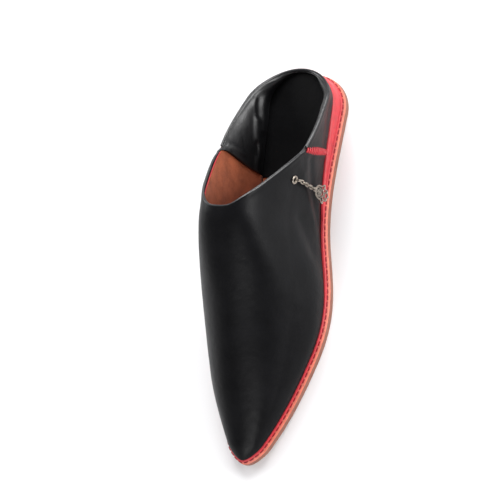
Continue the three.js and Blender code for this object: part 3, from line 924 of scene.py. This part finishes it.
# ------------------------------------------------------------------ linings
# Folds of the loose lining at the heel, as CREASES, their depth inwards.
LINING_FOLDS = [
    (-1, (8, 25), (44, 19.5), 3.4, 1.0), (-1, (40, 25), (74, 17.5), 2.6, 0.9),
    (-1, (26, 30), (52, 25), 2.0, 0.45), (-1, (14, 30), (34, 27), 3.2, -0.5),
    (-1, (54, 33), (72, 28), 3.4, -0.45), (-1, (63, 52), (66, 31), 2.3, 0.6),
    (-1, (69, 43), (71, 28), 2.2, -0.4), (-1, (56, 24), (62, 21), 1.5, -0.5),
    (1, (10, 26), (46, 19.5), 3.2, 1.0), (1, (42, 25), (72, 18), 2.4, 0.8),
    (1, (24, 31), (60, 26), 3.0, -0.5), (1, (60, 50), (66, 28), 2.6, 0.5),
]
RIM_FOLD = 1.9                  # from the throat's rim to the suede's edge
PADDING = 2.1                   # how far the heel lining swells inwards
GLUED = 0.02                    # how far the linings lie in the wall's inner face
PIPING = 0.42                   # radius of the piping along the suede's edge
PIPING_DEPTH = 0.15             # from the wall's inner face to the piping's middle
LEAST_LINING = 0.06             # the heel lining's least thickness, at the rim
HIGHEST_FOLD = 0.25             # how far a fold may rise towards the wall
LINING_TOP = 0.985              # part of the way up at which the heel's lining ends
LINING_REACH = 0.062            # how far past the seam it reaches at the sole, and how
LINING_SLANT = 0.05             # much less of that at the rim, as parts of the loop


def quarter_folds(points, up):
    """Depth of the heel lining's folds in millimetres, wavering along their lines and
    dying out towards the rim."""
    station, side, height = in_shoe_terms(points)
    waver = 0.8 * np.sin(station / 7.7 + 0.6) + 0.35 * np.sin(station / 3.1 + 2.0)
    moved = placed(station + 0.4 * waver, side, height + waver)
    folds = crease_depth(moved, LINING_FOLDS) + waves(points, ((7.0, 0.1), (15.0, 0.2)))
    return folds * smooth(1.0, 0.84, up)


def between_seams(gap, count):
    """Places on the loop from one side seam over the toe to the other."""
    return np.linspace(SEAM + gap, 2 - SEAM - gap, count)


class OBJECT_OT_slipper_linings(bpy.types.Operator):
    """Make the suede vamp lining, the black quarter lining and the piping"""
    bl_idname = "object.slipper_linings"
    bl_label = "Linings"

    def execute(self, context):
        fan = Fan()
        wall = sizes().wall
        glued = wall - GLUED * MM
        tan = suede("lining_suede", colours().lining)
        gloss = upper_leather("lining_leather", colours().upper, 0.38, 0.04, 0.6)
        red = crimson_leather("piping_leather", shade(colours().crimson, 0.8))

        loop = between_seams(0.02, 260)
        top = 1 - RIM_FOLD / column_lengths(fan, loop)
        ups = np.linspace(0, 1, 50)[:, None] * top[None, :]
        sheet = thin_sheet(fan, loop[None, :], ups, -glued, -wall - sizes().lining)
        add_piece("vamp_lining", sheet, tan)

        ups = np.linspace(0.0, LINING_TOP, 96)[:, None]
        front = SEAM + LINING_REACH - LINING_SLANT * ups ** 1.6
        loop = mix(-front, front, np.linspace(0, 1, 300)[None, :])
        points, _ = fan.surface(loop, ups)
        folds = quarter_folds(points, ups)
        thick = sizes().quarter_lining * rounded((1 - ups) / 0.12)     # rounded at the rim
        room = smooth(5.0, 22.0, column_lengths(fan, loop[len(ups) // 2]))
        padding = PADDING * MM * room * np.sin(np.pi * clamp01(ups) ** 0.9) ** 1.15
        folds = np.maximum(folds, -HIGHEST_FOLD)
        inner = -wall - thick - padding - (LEAST_LINING + folds) * MM
        sheet = thin_sheet(fan, loop, ups, -glued, inner)
        add_piece("quarter_lining", sheet, gloss)

        loop = between_seams(0.03, 400)
        points, normals = fan.surface(loop, 1 - RIM_FOLD / column_lengths(fan, loop))
        path = points - normals * (wall + PIPING_DEPTH * MM)
        piping = mesh_of(*wire(path, PIPING * MM, up=(0, 0, 1)))
        add_piece("throat_piping", piping, red)
        return {"FINISHED"}


# ------------------------------------------------------------------ side seams
SEAM_THREAD = 0.88              # radius of the whip stitches across their flat
SEAM_END = 1.2                  # height left free at both ends of the seam
SEAM_SPOTS = 13                 # points along a whip stitch
INLAY_TOP, INLAY_FOOT = 0.9, 1.6        # the inlay's depth under the leather's face


def on_side(loop, side):
    """A place on the loop for the charm's side (1) or its twin on the other (-1)."""
    return loop if side > 0 else 2 - loop


def wall_surface(station, height, side):
    """Point and outward normal of the upper's wall at a station and a height."""
    def at(s, h):
        return last_point(s, turn_at(s, h), side)
    rise = at(station, height + 0.3) - at(station, height - 0.3)
    along = at(station + 0.5, height) - at(station - 0.5, height)
    return at(station, height), unit(np.cross(rise, along) * side)


def seam_parts(fan, side):
    """Whip stitches of a side seam: each lies level, and arches over the gap between
    the leathers as a cosine."""
    ends = fan.point(SEAM, np.array([0.0, 1.0]))
    (low_station, top_station), _, (low, top) = in_shoe_terms(ends)
    sewn = top - low - 2 * SEAM_END
    count = round(sewn / (sizes().seam_stitch / MM))
    across = np.linspace(-1, 1, SEAM_SPOTS)
    arch = (0.05 + 0.4 * np.cos(across * np.pi / 2)) * MM
    parts = []
    for index in range(count):
        rise = (SEAM_END + (index + 0.5) * sewn / count) / (top - low)
        station = mix(low_station, top_station, rise) + seam_half(rise) * across
        height = np.full(SEAM_SPOTS, mix(low, top, rise))
        points, normals = wall_surface(station, height, side)
        path, up = points + normals * arch[:, None], normals[SEAM_SPOTS // 2]
        parts.append(wire(path, SEAM_THREAD * MM, up=tuple(up), sides=12, flat=0.62))
    return parts


class OBJECT_OT_slipper_seams(bpy.types.Operator):
    """Make the side seams: a crimson inlay under a ladder of whip stitches"""
    bl_idname = "object.slipper_seams"
    bl_label = "Side seams"

    def execute(self, context):
        fan = Fan()
        thread = waxed_thread("seam_thread", colours().thread)
        # The inlay is crimson darkened to 0.3 of it: painted shade in the gaps between the whip
        # stitches
        inlay = crimson_leather("seam_inlay", shade(colours().crimson, 0.3))
        ups = np.linspace(0.01, 0.97, 40)[:, None]
        seam = fan.seam(ups)
        reach = (SEAM_GAP + 0.8) / fan.per_part(seam, ups)
        for side, label in ((1, "charm_side"), (-1, "far_side")):
            stitches = joined(seam_parts(fan, side))
            add_piece(f"seam_stitches_{label}", stitches, thread)
            loop = on_side(seam + reach * np.linspace(-1, 1, 9)[None, :], side)
            sheet = thin_sheet(fan, loop, ups, -INLAY_TOP * MM, -INLAY_FOOT * MM)
            add_piece(f"seam_inlay_{label}", sheet, inlay)
        return {"FINISHED"}


# ------------------------------------------------------------------ sole
TREAD_ROUND = 0.6               # radius between the tread and the sole's edge
EDGE_ROUND = 0.5                # radius between the edge and the bevel
BEVEL_ROUND = 0.35              # radius at the bevel's top
STITCH_RUN = 0.5                # length of a stitch round the sole, as part of the pitch
SOLE_COLUMNS = 420              # points along each half of the sole's outline
STRIPS = 11                     # rows across the sole, below and above
EDGE, BEVEL, TREAD = range(3)   # the outsole's materials
STITCH_THREAD = 0.56            # radius of the stitches round the sole
WEDGE_GAP = 0.6                 # how far before the wedge's end its cover stops


def outline(margin, last_station=None, count=SOLE_COLUMNS):
    """Half of the sole's outline moved out by a margin, in millimetres, as stations
    and sides from the heel's back down the charm's side to the toe."""
    stations = dense_stations(HEEL_BACK, TOE_TIP, 6001)
    line = np.stack([stations, half_width(stations)], axis=-1)
    run = unit(np.gradient(line, axis=0))
    run[0], run[-1] = (0, 1), (0, -1)
    moved = line + np.stack([-run[:, 1], run[:, 0]], axis=-1) * margin
    if last_station is not None:
        moved = moved[moved[:, 0] <= last_station]
    length = lengths_along(moved)
    even = np.linspace(0, length[-1], count)
    half = np.stack([np.interp(even, length, moved[:, i]) for i in (0, 1)], axis=-1)
    half[0, 1] = 0.0
    if last_station is None:
        half[-1, 1] = 0.0
    return half


def sole_mesh(profile, height, last_station=None):
    """A layer of the sole: the outline carried through a profile of margins and lifts,
    shut below and above by strips from side to side. height takes a station and a
    lift. A layer that stops short is shut there by triangles round its end's middle."""
    near = []
    for margin, lift in profile:
        half = outline(margin, last_station)
        near.append(placed(half[:, 0], half[:, 1], height(half[:, 0], lift)))
    near = np.stack(near)
    far = near * (-1, 1, 1)
    part = (1 + np.linspace(1, -1, STRIPS + 2)[1:-1, None, None]) / 2
    top, bottom = mix(far[-1], near[-1], part), mix(far[0], near[0], part)
    grid = np.concatenate([near, top, far[::-1], bottom[::-1]])
    rows, columns = grid.shape[:2]
    points, quads, fan = grid.reshape(-1, 3), quads_of(rows, columns, True, False), None
    if last_station is not None:
        end = np.arange(rows) * columns + columns - 1
        fan = np.stack([end, np.roll(end, -1), np.full(rows, len(points))], axis=-1)
        points = np.concatenate([points, grid[:, -1].mean(axis=0)[None]])
    return mesh_of(points, quads, fan)


def over_floor(station, lift):
    """Height of a place on the sole, raised with the toe."""
    return lift + spring(station)


def on_wedge(station, part):
    """Height part of the way up the wedge, a little inside the CAD's."""
    return mix(FOOT_LEVEL - 0.05, foot_height(station) - 0.04, part)


def on_foot(station, lift):
    """Height of a place on the footbed."""
    return foot_height(station) + lift


def arc_profile(centre_margin, centre_height, radius, start, end, count=5):
    """Round part of a profile, as (margin, lift) pairs."""
    turns = np.radians(np.linspace(start, end, count))
    return [(centre_margin + radius * math.cos(turn), centre_height + radius * math.sin(turn))
            for turn in turns]


class OBJECT_OT_slipper_sole(bpy.types.Operator):
    """Make the outsole with its bevel, the rand and the heel wedge"""
    bl_idname = "object.slipper_sole"
    bl_label = "Sole"

    def execute(self, context):
        margin = sizes().sole_margin / MM
        bevel = sizes().bevel / MM
        thick = sizes().outsole / MM
        edge_top = thick - bevel - EDGE_ROUND / 2
        # From the tread round its soft corner, up a slightly full edge, over the bevel.
        pairs = [(margin - 3.0, 0.0), (margin - 1.2, 0.0)]
        pairs += arc_profile(margin - TREAD_ROUND, TREAD_ROUND, TREAD_ROUND, -90, 0)
        pairs += [(margin + 0.05, edge_top * 0.5), (margin, edge_top - 0.3)]
        edge_rows = len(pairs)
        pairs += arc_profile(margin - EDGE_ROUND, edge_top, EDGE_ROUND, 0, 45, 3)
        high = thick - BEVEL_ROUND
        pairs += [(margin - bevel * 0.75, high)]
        pairs += arc_profile(margin - bevel - 0.15, high, BEVEL_ROUND, 45, 90, 3)
        mesh = sole_mesh(pairs, over_floor)
        side = np.full(len(pairs), EDGE)
        side[:2], side[edge_rows:] = TREAD, BEVEL
        paint_rows(mesh, SOLE_COLUMNS, np.concatenate([
            side, np.full(STRIPS - 1, BEVEL), side[::-1], np.full(STRIPS + 1, TREAD)]))
        materials = [cut_edge("sole_edge", colours().edge),
                     dyed_bevel("sole_bevel", colours().bevel),
                     tread_leather("sole_tread", colours().tread)]
        add_piece("outsole_leather", mesh, materials, replaces=["outsole"])

        red = crimson_leather("crimson_leather", colours().crimson)
        low, high = thick, FOOT_LEVEL - 0.02
        middle, radius = (low + high) / 2, (high - low) / 2
        pairs = arc_profile(sizes().rand_margin / MM - radius, middle, radius, -90, 90, 9)
        add_piece("rand", sole_mesh(pairs, over_floor), red,
                  replaces=["midsole"])

        # The wedge's side swells a little and turns in at the top.
        pairs = [(0.25 + 0.35 * math.sin(math.pi * part) - 0.9 * part ** 12, part)
                 for part in np.linspace(0, 1, 16)]
        mesh = sole_mesh(pairs, on_wedge, WEDGE_END - WEDGE_GAP)
        add_piece("wedge_cover", mesh, red, replaces=["heel_wedge"])
        return {"FINISHED"}


class OBJECT_OT_slipper_sole_stitches(bpy.types.Operator):
    """Make the row of crimson stitches round the sole"""
    bl_idname = "object.slipper_sole_stitches"
    bl_label = "Sole stitches"

    def execute(self, context):
        half = outline(sizes().rand_margin / MM + 0.2, count=2000)
        length = lengths_along(half)
        count = round(length[-1] / (sizes().sole_stitch / MM))
        pitch = length[-1] / count
        parts = []
        for index in range(count):
            spots = (index + 0.5 + np.linspace(-0.5, 0.5, 7) * STITCH_RUN) * pitch
            station, side = (np.interp(spots, length, half[:, i]) for i in (0, 1))
            path = placed(station, side, over_floor(station, sizes().outsole / MM + 0.42))
            for mirror in (1, -1):
                parts.append(wire(path * (mirror, 1, 1), STITCH_THREAD * MM,
                                  up=(0, 0, 1), sides=8))
        thread = waxed_thread("sole_thread", shade(colours().thread, 0.6))
        add_piece("sole_stitches", joined(parts), thread)
        return {"FINISHED"}


# ------------------------------------------------------------------ footbed
FOOTBED_EDGE = 0.5              # radius of the footbed's soft upper edge
FOOTBED_END = 256.0             # station at which the footbed stops
SOCK_END = 75.0


def footbed_mesh(inset, low, high, last_station):
    """A plate inside the upper with a soft upper edge, following the foot's line."""
    edge = FOOTBED_EDGE
    pairs = [(-inset, low), (-inset, high - edge)]
    pairs += arc_profile(-inset - edge, high - edge, edge, 30, 90, 3)
    return sole_mesh(pairs, on_foot, last_station)


class OBJECT_OT_slipper_footbed(bpy.types.Operator):
    """Make the suede footbed and the black heel sock on it"""
    bl_idname = "object.slipper_footbed"
    bl_label = "Footbed"

    def execute(self, context):
        inset = (sizes().wall + sizes().lining) / MM + 0.1
        tan = suede("footbed_suede", colours().lining)
        # The heel sock's leather is the upper's colour halved: painted shade deep in the heel
        gloss = upper_leather("sock_leather_painted_shade", shade(colours().upper, 0.5), 0.55, 0.05, 0.1)
        bed = footbed_mesh(inset, 0.05, 1.6, FOOTBED_END)
        add_piece("footbed", bed, tan, replaces=["insole"])
        sock = footbed_mesh(inset - 0.2, 1.5, 2.2, SOCK_END)
        add_piece("heel_sock", sock, gloss)
        return {"FINISHED"}


# ------------------------------------------------------------------ metal
BAIL_RADIUS = 2.0               # the eyelet's loop, which the chain hangs from
LINK_RADIUS = 1.1
LINK_STRAIGHT = 1.7
LINK_COUNT = 6
WIRE = 0.36
# The eyelet's tube and its flange inside the upper: radius, height over the wall.
EYELET_BACK = [(1.42, 0.3), (1.42, -2.6), (2.3, -2.6), (2.3, -3.0), (1.2, -3.0), (1.2, 0.1),
               (1.6, 0.05)]


def circle(count):
    """Turns round a circle, its start not repeated, as a column."""
    return np.linspace(0, 2 * np.pi, count, endpoint=False)[:, None]


def eyelet_place():
    """Centre and outward direction of the eyelet on the upper's wall."""
    turn = turn_at(EYELET_STATION, EYELET_HEIGHT)

    def near(ahead, more):
        return last_point(EYELET_STATION + ahead, turn + more, 1.0)
    along, rise = near(2, 0) - near(-2, 0), near(0, 0.05) - near(0, -0.05)
    return near(0, 0), unit(np.cross(rise, along))


def lathed(profile, centre, axis, count=64):
    """A closed profile of (radius, height) turned round an axis through a centre."""
    across = unit(np.cross(axis, (0.0, 0.0, 1.0)))
    other = np.cross(axis, across)
    turn = circle(count)[None]
    radius, height = (np.array(values)[:, None, None] * MM for values in zip(*profile))
    grid = centre + axis * height + radius * (across * np.cos(turn) + other * np.sin(turn))
    return grid.reshape(-1, 3), quads_of(len(profile), count, True, True)


def link_path():
    """A long oval in the plane of Y and Z, its upper bend's centre at the origin."""
    turn = np.linspace(0, np.pi, 26)
    top = np.stack([0 * turn, np.cos(turn), np.sin(turn)], axis=-1) * LINK_RADIUS
    bottom = top * (1, -1, -1) - (0, 0, LINK_STRAIGHT)
    return np.concatenate([top, bottom])


class OBJECT_OT_slipper_chain(bpy.types.Operator):
    """Make the eyelet with its loop and the chain's links"""
    bl_idname = "object.slipper_chain"
    bl_label = "Eyelet and chain"

    def execute(self, context):
        centre, outward = eyelet_place()
        # The chain's, the loop's and the eyelet's sides towards the shoe get painted shade,
        # their outer sides a painted highlight
        silver = silver_with_painted_shade("chain_silver", colours().silver, HANG.x - 1.6)
        bright = silver_with_painted_shade("eyelet_silver", colours().silver, centre[0] / MM - 0.6)
        rim = [(2.15 + 0.68 * math.cos(turn), 0.62 + 0.6 * math.sin(turn))
               for turn in np.radians(np.linspace(-90, 250, 22))]
        turn = circle(48)
        bail = np.hstack([np.cos(turn), 0 * turn, 1 + np.sin(turn)]) * BAIL_RADIUS
        parts = [lathed(rim + EYELET_BACK, centre, outward),
                 wire((bail + tuple(HANG)) * MM, WIRE * MM, closed=True, up=(0, 1, 0))]
        add_piece("eyelet_ring", joined(parts), bright, replaces=["eyelet"])
        for index in range(LINK_COUNT):
            path = link_path()
            if index % 2:
                path = path[:, [1, 0, 2]]
            hang = (HANG.x, HANG.y, HANG.z - index * (LINK_STRAIGHT + LINK_RADIUS))
            up = (0, 1, 0) if index % 2 else (1, 0, 0)
            link = wire((path + hang) * MM, WIRE * MM, closed=True, up=up, sides=12)
            add_piece(f"link_{index + 1}", mesh_of(*link), silver,
                      body="chain", replaces=[f"chain_link_{index + 1}"])
        return {"FINISHED"}


# The hand charm, drawn with x along the shoe and y up, below its eye: every stroke
# is a wire's radius and points in millimetres, those of STROKES smooth through their
# points and drawn on both sides.
DOME = -1.3                     # height of the hand's top
FLOWER = DOME - 5.4             # height of the flower's middle
PETAL_COUNT = 8
CHARM_VOXEL = 0.11
CAST = 1.25                     # how much thicker the cast strokes are than drawn
STROKES = [                     # radius, number of places, points from the dome
    (0.46, 60, [(0.0, 0.0), (1.9, -0.45), (3.4, -1.9), (4.1, -4.0), (4.35, -6.2),
                (4.8, -7.7), (5.7, -8.7), (6.0, -9.9), (5.0, -10.6), (3.95, -10.3)]),
    (0.44, 60, [(3.6, -9.6), (3.55, -11.6), (3.45, -13.6), (2.6, -14.5), (1.75, -13.7)]),
    (0.34, 20, [(1.75, -13.7), (1.35, -12.0), (1.25, -10.4)]),
    (0.4, 20, [(1.75, -13.7), (1.3, -15.0), (0.0, -15.5)]),
    (0.3, 30, [(0.3, -0.9), (2.2, -2.0), (2.9, -4.2), (2.5, -6.0)]),
    (0.33, 30, [(4.2, -6.4), (3.0, -7.2), (1.9, -8.6), (1.2, -10.2)]),
    (0.36, 30, [(3.6, -10.0), (2.4, -9.2), (1.2, -9.4), (0, -10.2)]),
    (0.26, 14, [(2.5, -11.2), (2.2, -12.2), (2.6, -13.2)]),
]
RINGS = [                       # radius of the wire, height, radius, number of places
    (0.4, 0.0, 1.15, 40), (0.3, FLOWER, 2.35, 40), (0.36, FLOWER, 0.55, 40),
    (0.26, DOME - 1.7, 0.75, 24), (0.26, DOME - 11.9, 0.7, 24),
]
BALLS = [                       # x, y from the dome, radius
    (0.0, -15.9, 0.85), (6.0, -9.9, 0.72), (-6.0, -9.9, 0.72), (2.6, -14.4, 0.7),
    (-2.6, -14.4, 0.7), (0.0, -5.4, 0.62),
]


def smooth_line(points, count):
    """Natural cubic through plane points, by the length along them."""
    length = lengths_along(points)
    at = np.linspace(0, length[-1], count)
    return np.stack([curve_through(list(zip(length, values)))(at) for values in points.T],
                    axis=-1)


def hand_strokes():
    """Every stroke of the charm: (plane points, radius, closed)."""
    strokes = []
    for radius, height, ring, count in RINGS:
        turn = circle(count)
        points = np.hstack([ring * np.cos(turn), height + ring * np.sin(turn)])
        strokes.append((points, radius, True))
    for mirror in (1, -1):
        for radius, count, points in STROKES:
            points = np.array(points, float) * (mirror, 1) + (0, DOME)
            strokes.append((smooth_line(points, count), radius, False))
    for turn in circle(PETAL_COUNT)[:, 0]:
        spot = np.array([math.sin(turn), math.cos(turn)])
        petal = np.array([0, FLOWER]) + spot * np.linspace(0.6, 2.3, 8)[:, None]
        strokes.append((petal, 0.24, False))
    return strokes


def ball(centre, radius, rings=10, sides=16):
    """A ball from rings of latitude, its poles closed to a point."""
    tilt, turn = np.linspace(0, np.pi, rings)[:, None], circle(sides).T
    grid = np.stack([np.sin(tilt) * np.cos(turn), np.sin(tilt) * np.sin(turn),
                     np.cos(tilt) + 0 * turn], axis=-1)
    return (centre + grid * radius).reshape(-1, 3), quads_of(rings, sides, False, True)


def fuse(piece, voxel):
    """Melts overlapping strokes into one cast skin, then softens it."""
    remesh = piece.modifiers.new("fuse", "REMESH")
    remesh.mode = "VOXEL"
    remesh.voxel_size = voxel
    remesh.use_smooth_shade = True
    soften = piece.modifiers.new("soften", "SMOOTH")
    soften.factor, soften.iterations = 0.5, 3
    graph = bpy.context.evaluated_depsgraph_get()
    mesh = bpy.data.meshes.new_from_object(piece.evaluated_get(graph))
    materials = list(piece.data.materials)
    piece.modifiers.clear()
    piece.data = mesh
    mesh.materials.clear()
    for material in materials:
        mesh.materials.append(material)
    mesh.polygons.foreach_set("use_smooth", np.ones(len(mesh.polygons), bool))


class OBJECT_OT_slipper_charm(bpy.types.Operator):
    """Make the openwork hand charm"""
    bl_idname = "object.slipper_charm"
    bl_label = "Charm"

    def execute(self, context):
        # The charm's back half, towards the shoe, gets painted shade, its front half a painted
        # highlight
        silver = silver_with_painted_shade("charm_silver", shade(colours().silver, 0.9), CHARM_HANG.x - 0.1)

        def in_place(line):
            flat = np.stack([np.zeros(len(line)), -line[:, 0], line[:, 1]], axis=-1)
            return (flat + tuple(CHARM_HANG)) * MM
        parts = [wire(in_place(line), radius * CAST * MM, closed=closed, flat=0.95)
                 for line, radius, closed in hand_strokes()]
        parts += [ball(in_place(np.array([[x, y + DOME]]))[0], radius * MM)
                  for x, y, radius in BALLS]
        piece = add_piece("hand_charm", joined(parts), silver,
                          body="charm", replaces=["charm"])
        fuse(piece, CHARM_VOXEL * MM)
        return {"FINISHED"}


# ------------------------------------------------------------------ stage
CAMERA_AZIMUTH = 68.8           # degrees round from the toe towards the charm's side
CAMERA_HEIGHT = 54.4            # degrees over the floor
CAMERA_DISTANCE = 1.585
CAMERA_LENS = 176.0
CAMERA_LEAN = 10.4              # degrees that the shoe leans in the frame
FLOOR_HALF = 1.3
FLOOR_DROP = 0.03               # millimetres between the floor and the sole
LAMPS = [                       # name, place, target or the shoe's middle, size, power
    ("key", (0.1, 1.35, 1.2), None, (1.5, 0.9), 40),
    ("side", (1.35, 0.45, 0.42), None, (0.9, 0.6), 16),
    ("toe", (0.2, -1.5, 0.8), (0.1, -0.7, 0.0), (1.2, 0.5), 16),
    ("far", (-1.3, 0.2, 0.6), None, (0.8, 0.5), 8),
]
SKY = [(0.02, (1.0, 1.0, 1.0)), (0.22, (0.22, 0.22, 0.23))]     # white below, grey above


def soft_light(name, place, target, size, power):
    """A white rectangular lamp that faces a target."""
    light = bpy.data.lights.new(name, "AREA")
    light.shape = "RECTANGLE"
    light.size, light.size_y = size
    light.energy = power
    lamp = bpy.data.objects.new(name, light)
    lamp.location = place
    lamp.rotation_euler = (Vector(target) - Vector(place)).to_track_quat("-Z", "Y").to_euler()
    bpy.context.scene.collection.objects.link(lamp)


class OBJECT_OT_slipper_stage(bpy.types.Operator):
    """Make the floor, the studio lights and the camera"""
    bl_idname = "object.slipper_stage"
    bl_label = "Stage"

    def execute(self, context):
        scene = context.scene
        corners = [(x * FLOOR_HALF, y * FLOOR_HALF, -FLOOR_DROP * MM)
                   for x, y in ((-1, -1), (1, -1), (1, 1), (-1, 1))]
        mesh = mesh_of(corners, np.array([[0, 1, 2, 3]]))
        floor = bpy.data.objects.new("floor", mesh)
        mesh.materials.append(pale_floor("pale_floor"))
        scene.collection.objects.link(floor)

        world = bpy.data.worlds.new("studio")
        world.use_nodes = True
        sky = Graph(world.node_tree, "Background")
        place = sky.node("ShaderNodeTexCoord", {}, {}, "Generated")
        height = sky.node("ShaderNodeSeparateXYZ", {}, {0: place}, "Z")
        sky.link("Color", sky.node("ShaderNodeValToRGB", {"stops": SKY}, {0: height}))
        scene.world = world

        low, high = (Vector(corner) for corner in CAD_BOX)
        middle = (low + high) / 2
        for name, place, target, size, power in LAMPS:
            soft_light(name, place, target or middle, size, power)

        azimuth, rise = math.radians(CAMERA_AZIMUTH), math.radians(CAMERA_HEIGHT)
        flat = math.cos(rise)
        back = Vector((math.sin(azimuth) * flat, -math.cos(azimuth) * flat, math.sin(rise)))
        heelward = Vector((0, 1, 0))
        up = (heelward - back * heelward.dot(back)).normalized()
        up = Matrix.Rotation(math.radians(CAMERA_LEAN), 3, back) @ up
        right = up.cross(back)
        camera = bpy.data.cameras.new("camera")
        camera.lens = CAMERA_LENS
        camera.clip_start, camera.clip_end = 0.05, 20.0
        holder = bpy.data.objects.new("camera", camera)
        turn = Matrix((right, up, back)).transposed().to_4x4()
        holder.matrix_world = Matrix.Translation(middle + back * CAMERA_DISTANCE) @ turn
        scene.collection.objects.link(holder)
        scene.camera = holder
        scene.view_settings.view_transform = "Standard"
        return {"FINISHED"}


# ------------------------------------------------------------------ add-on
OPERATORS = (
    OBJECT_OT_slipper_upper, OBJECT_OT_slipper_linings, OBJECT_OT_slipper_seams,
    OBJECT_OT_slipper_sole, OBJECT_OT_slipper_sole_stitches, OBJECT_OT_slipper_footbed,
    OBJECT_OT_slipper_chain, OBJECT_OT_slipper_charm, OBJECT_OT_slipper_stage,
)


class VIEW3D_PT_slipper(bpy.types.Panel):
    """Sizes, colours and pieces of the slipper"""
    bl_idname = "VIEW3D_PT_slipper"
    bl_label = "Babouche slipper"
    bl_space_type = "VIEW_3D"
    bl_region_type = "UI"
    bl_category = "Slipper"

    def draw(self, context):
        for group in (sizes(), colours()):
            box = self.layout.box()
            for name in group.__annotations__:
                box.prop(group, name)
        for operator in OPERATORS:
            self.layout.operator(operator.bl_idname)


CLASSES = (SlipperSizes, SlipperColours, *OPERATORS, VIEW3D_PT_slipper)


def register():
    for each in CLASSES:
        bpy.utils.register_class(each)
    bpy.types.Scene.slipper_sizes = bpy.props.PointerProperty(type=SlipperSizes)
    bpy.types.Scene.slipper_colours = bpy.props.PointerProperty(type=SlipperColours)


def unregister():
    del bpy.types.Scene.slipper_colours
    del bpy.types.Scene.slipper_sizes
    for each in reversed(CLASSES):
        bpy.utils.unregister_class(each)


def main():
    register()
    for operator in OPERATORS:
        group, name = operator.bl_idname.split(".")
        getattr(getattr(bpy.ops, group), name)()


if __name__ == "__main__":
    main()
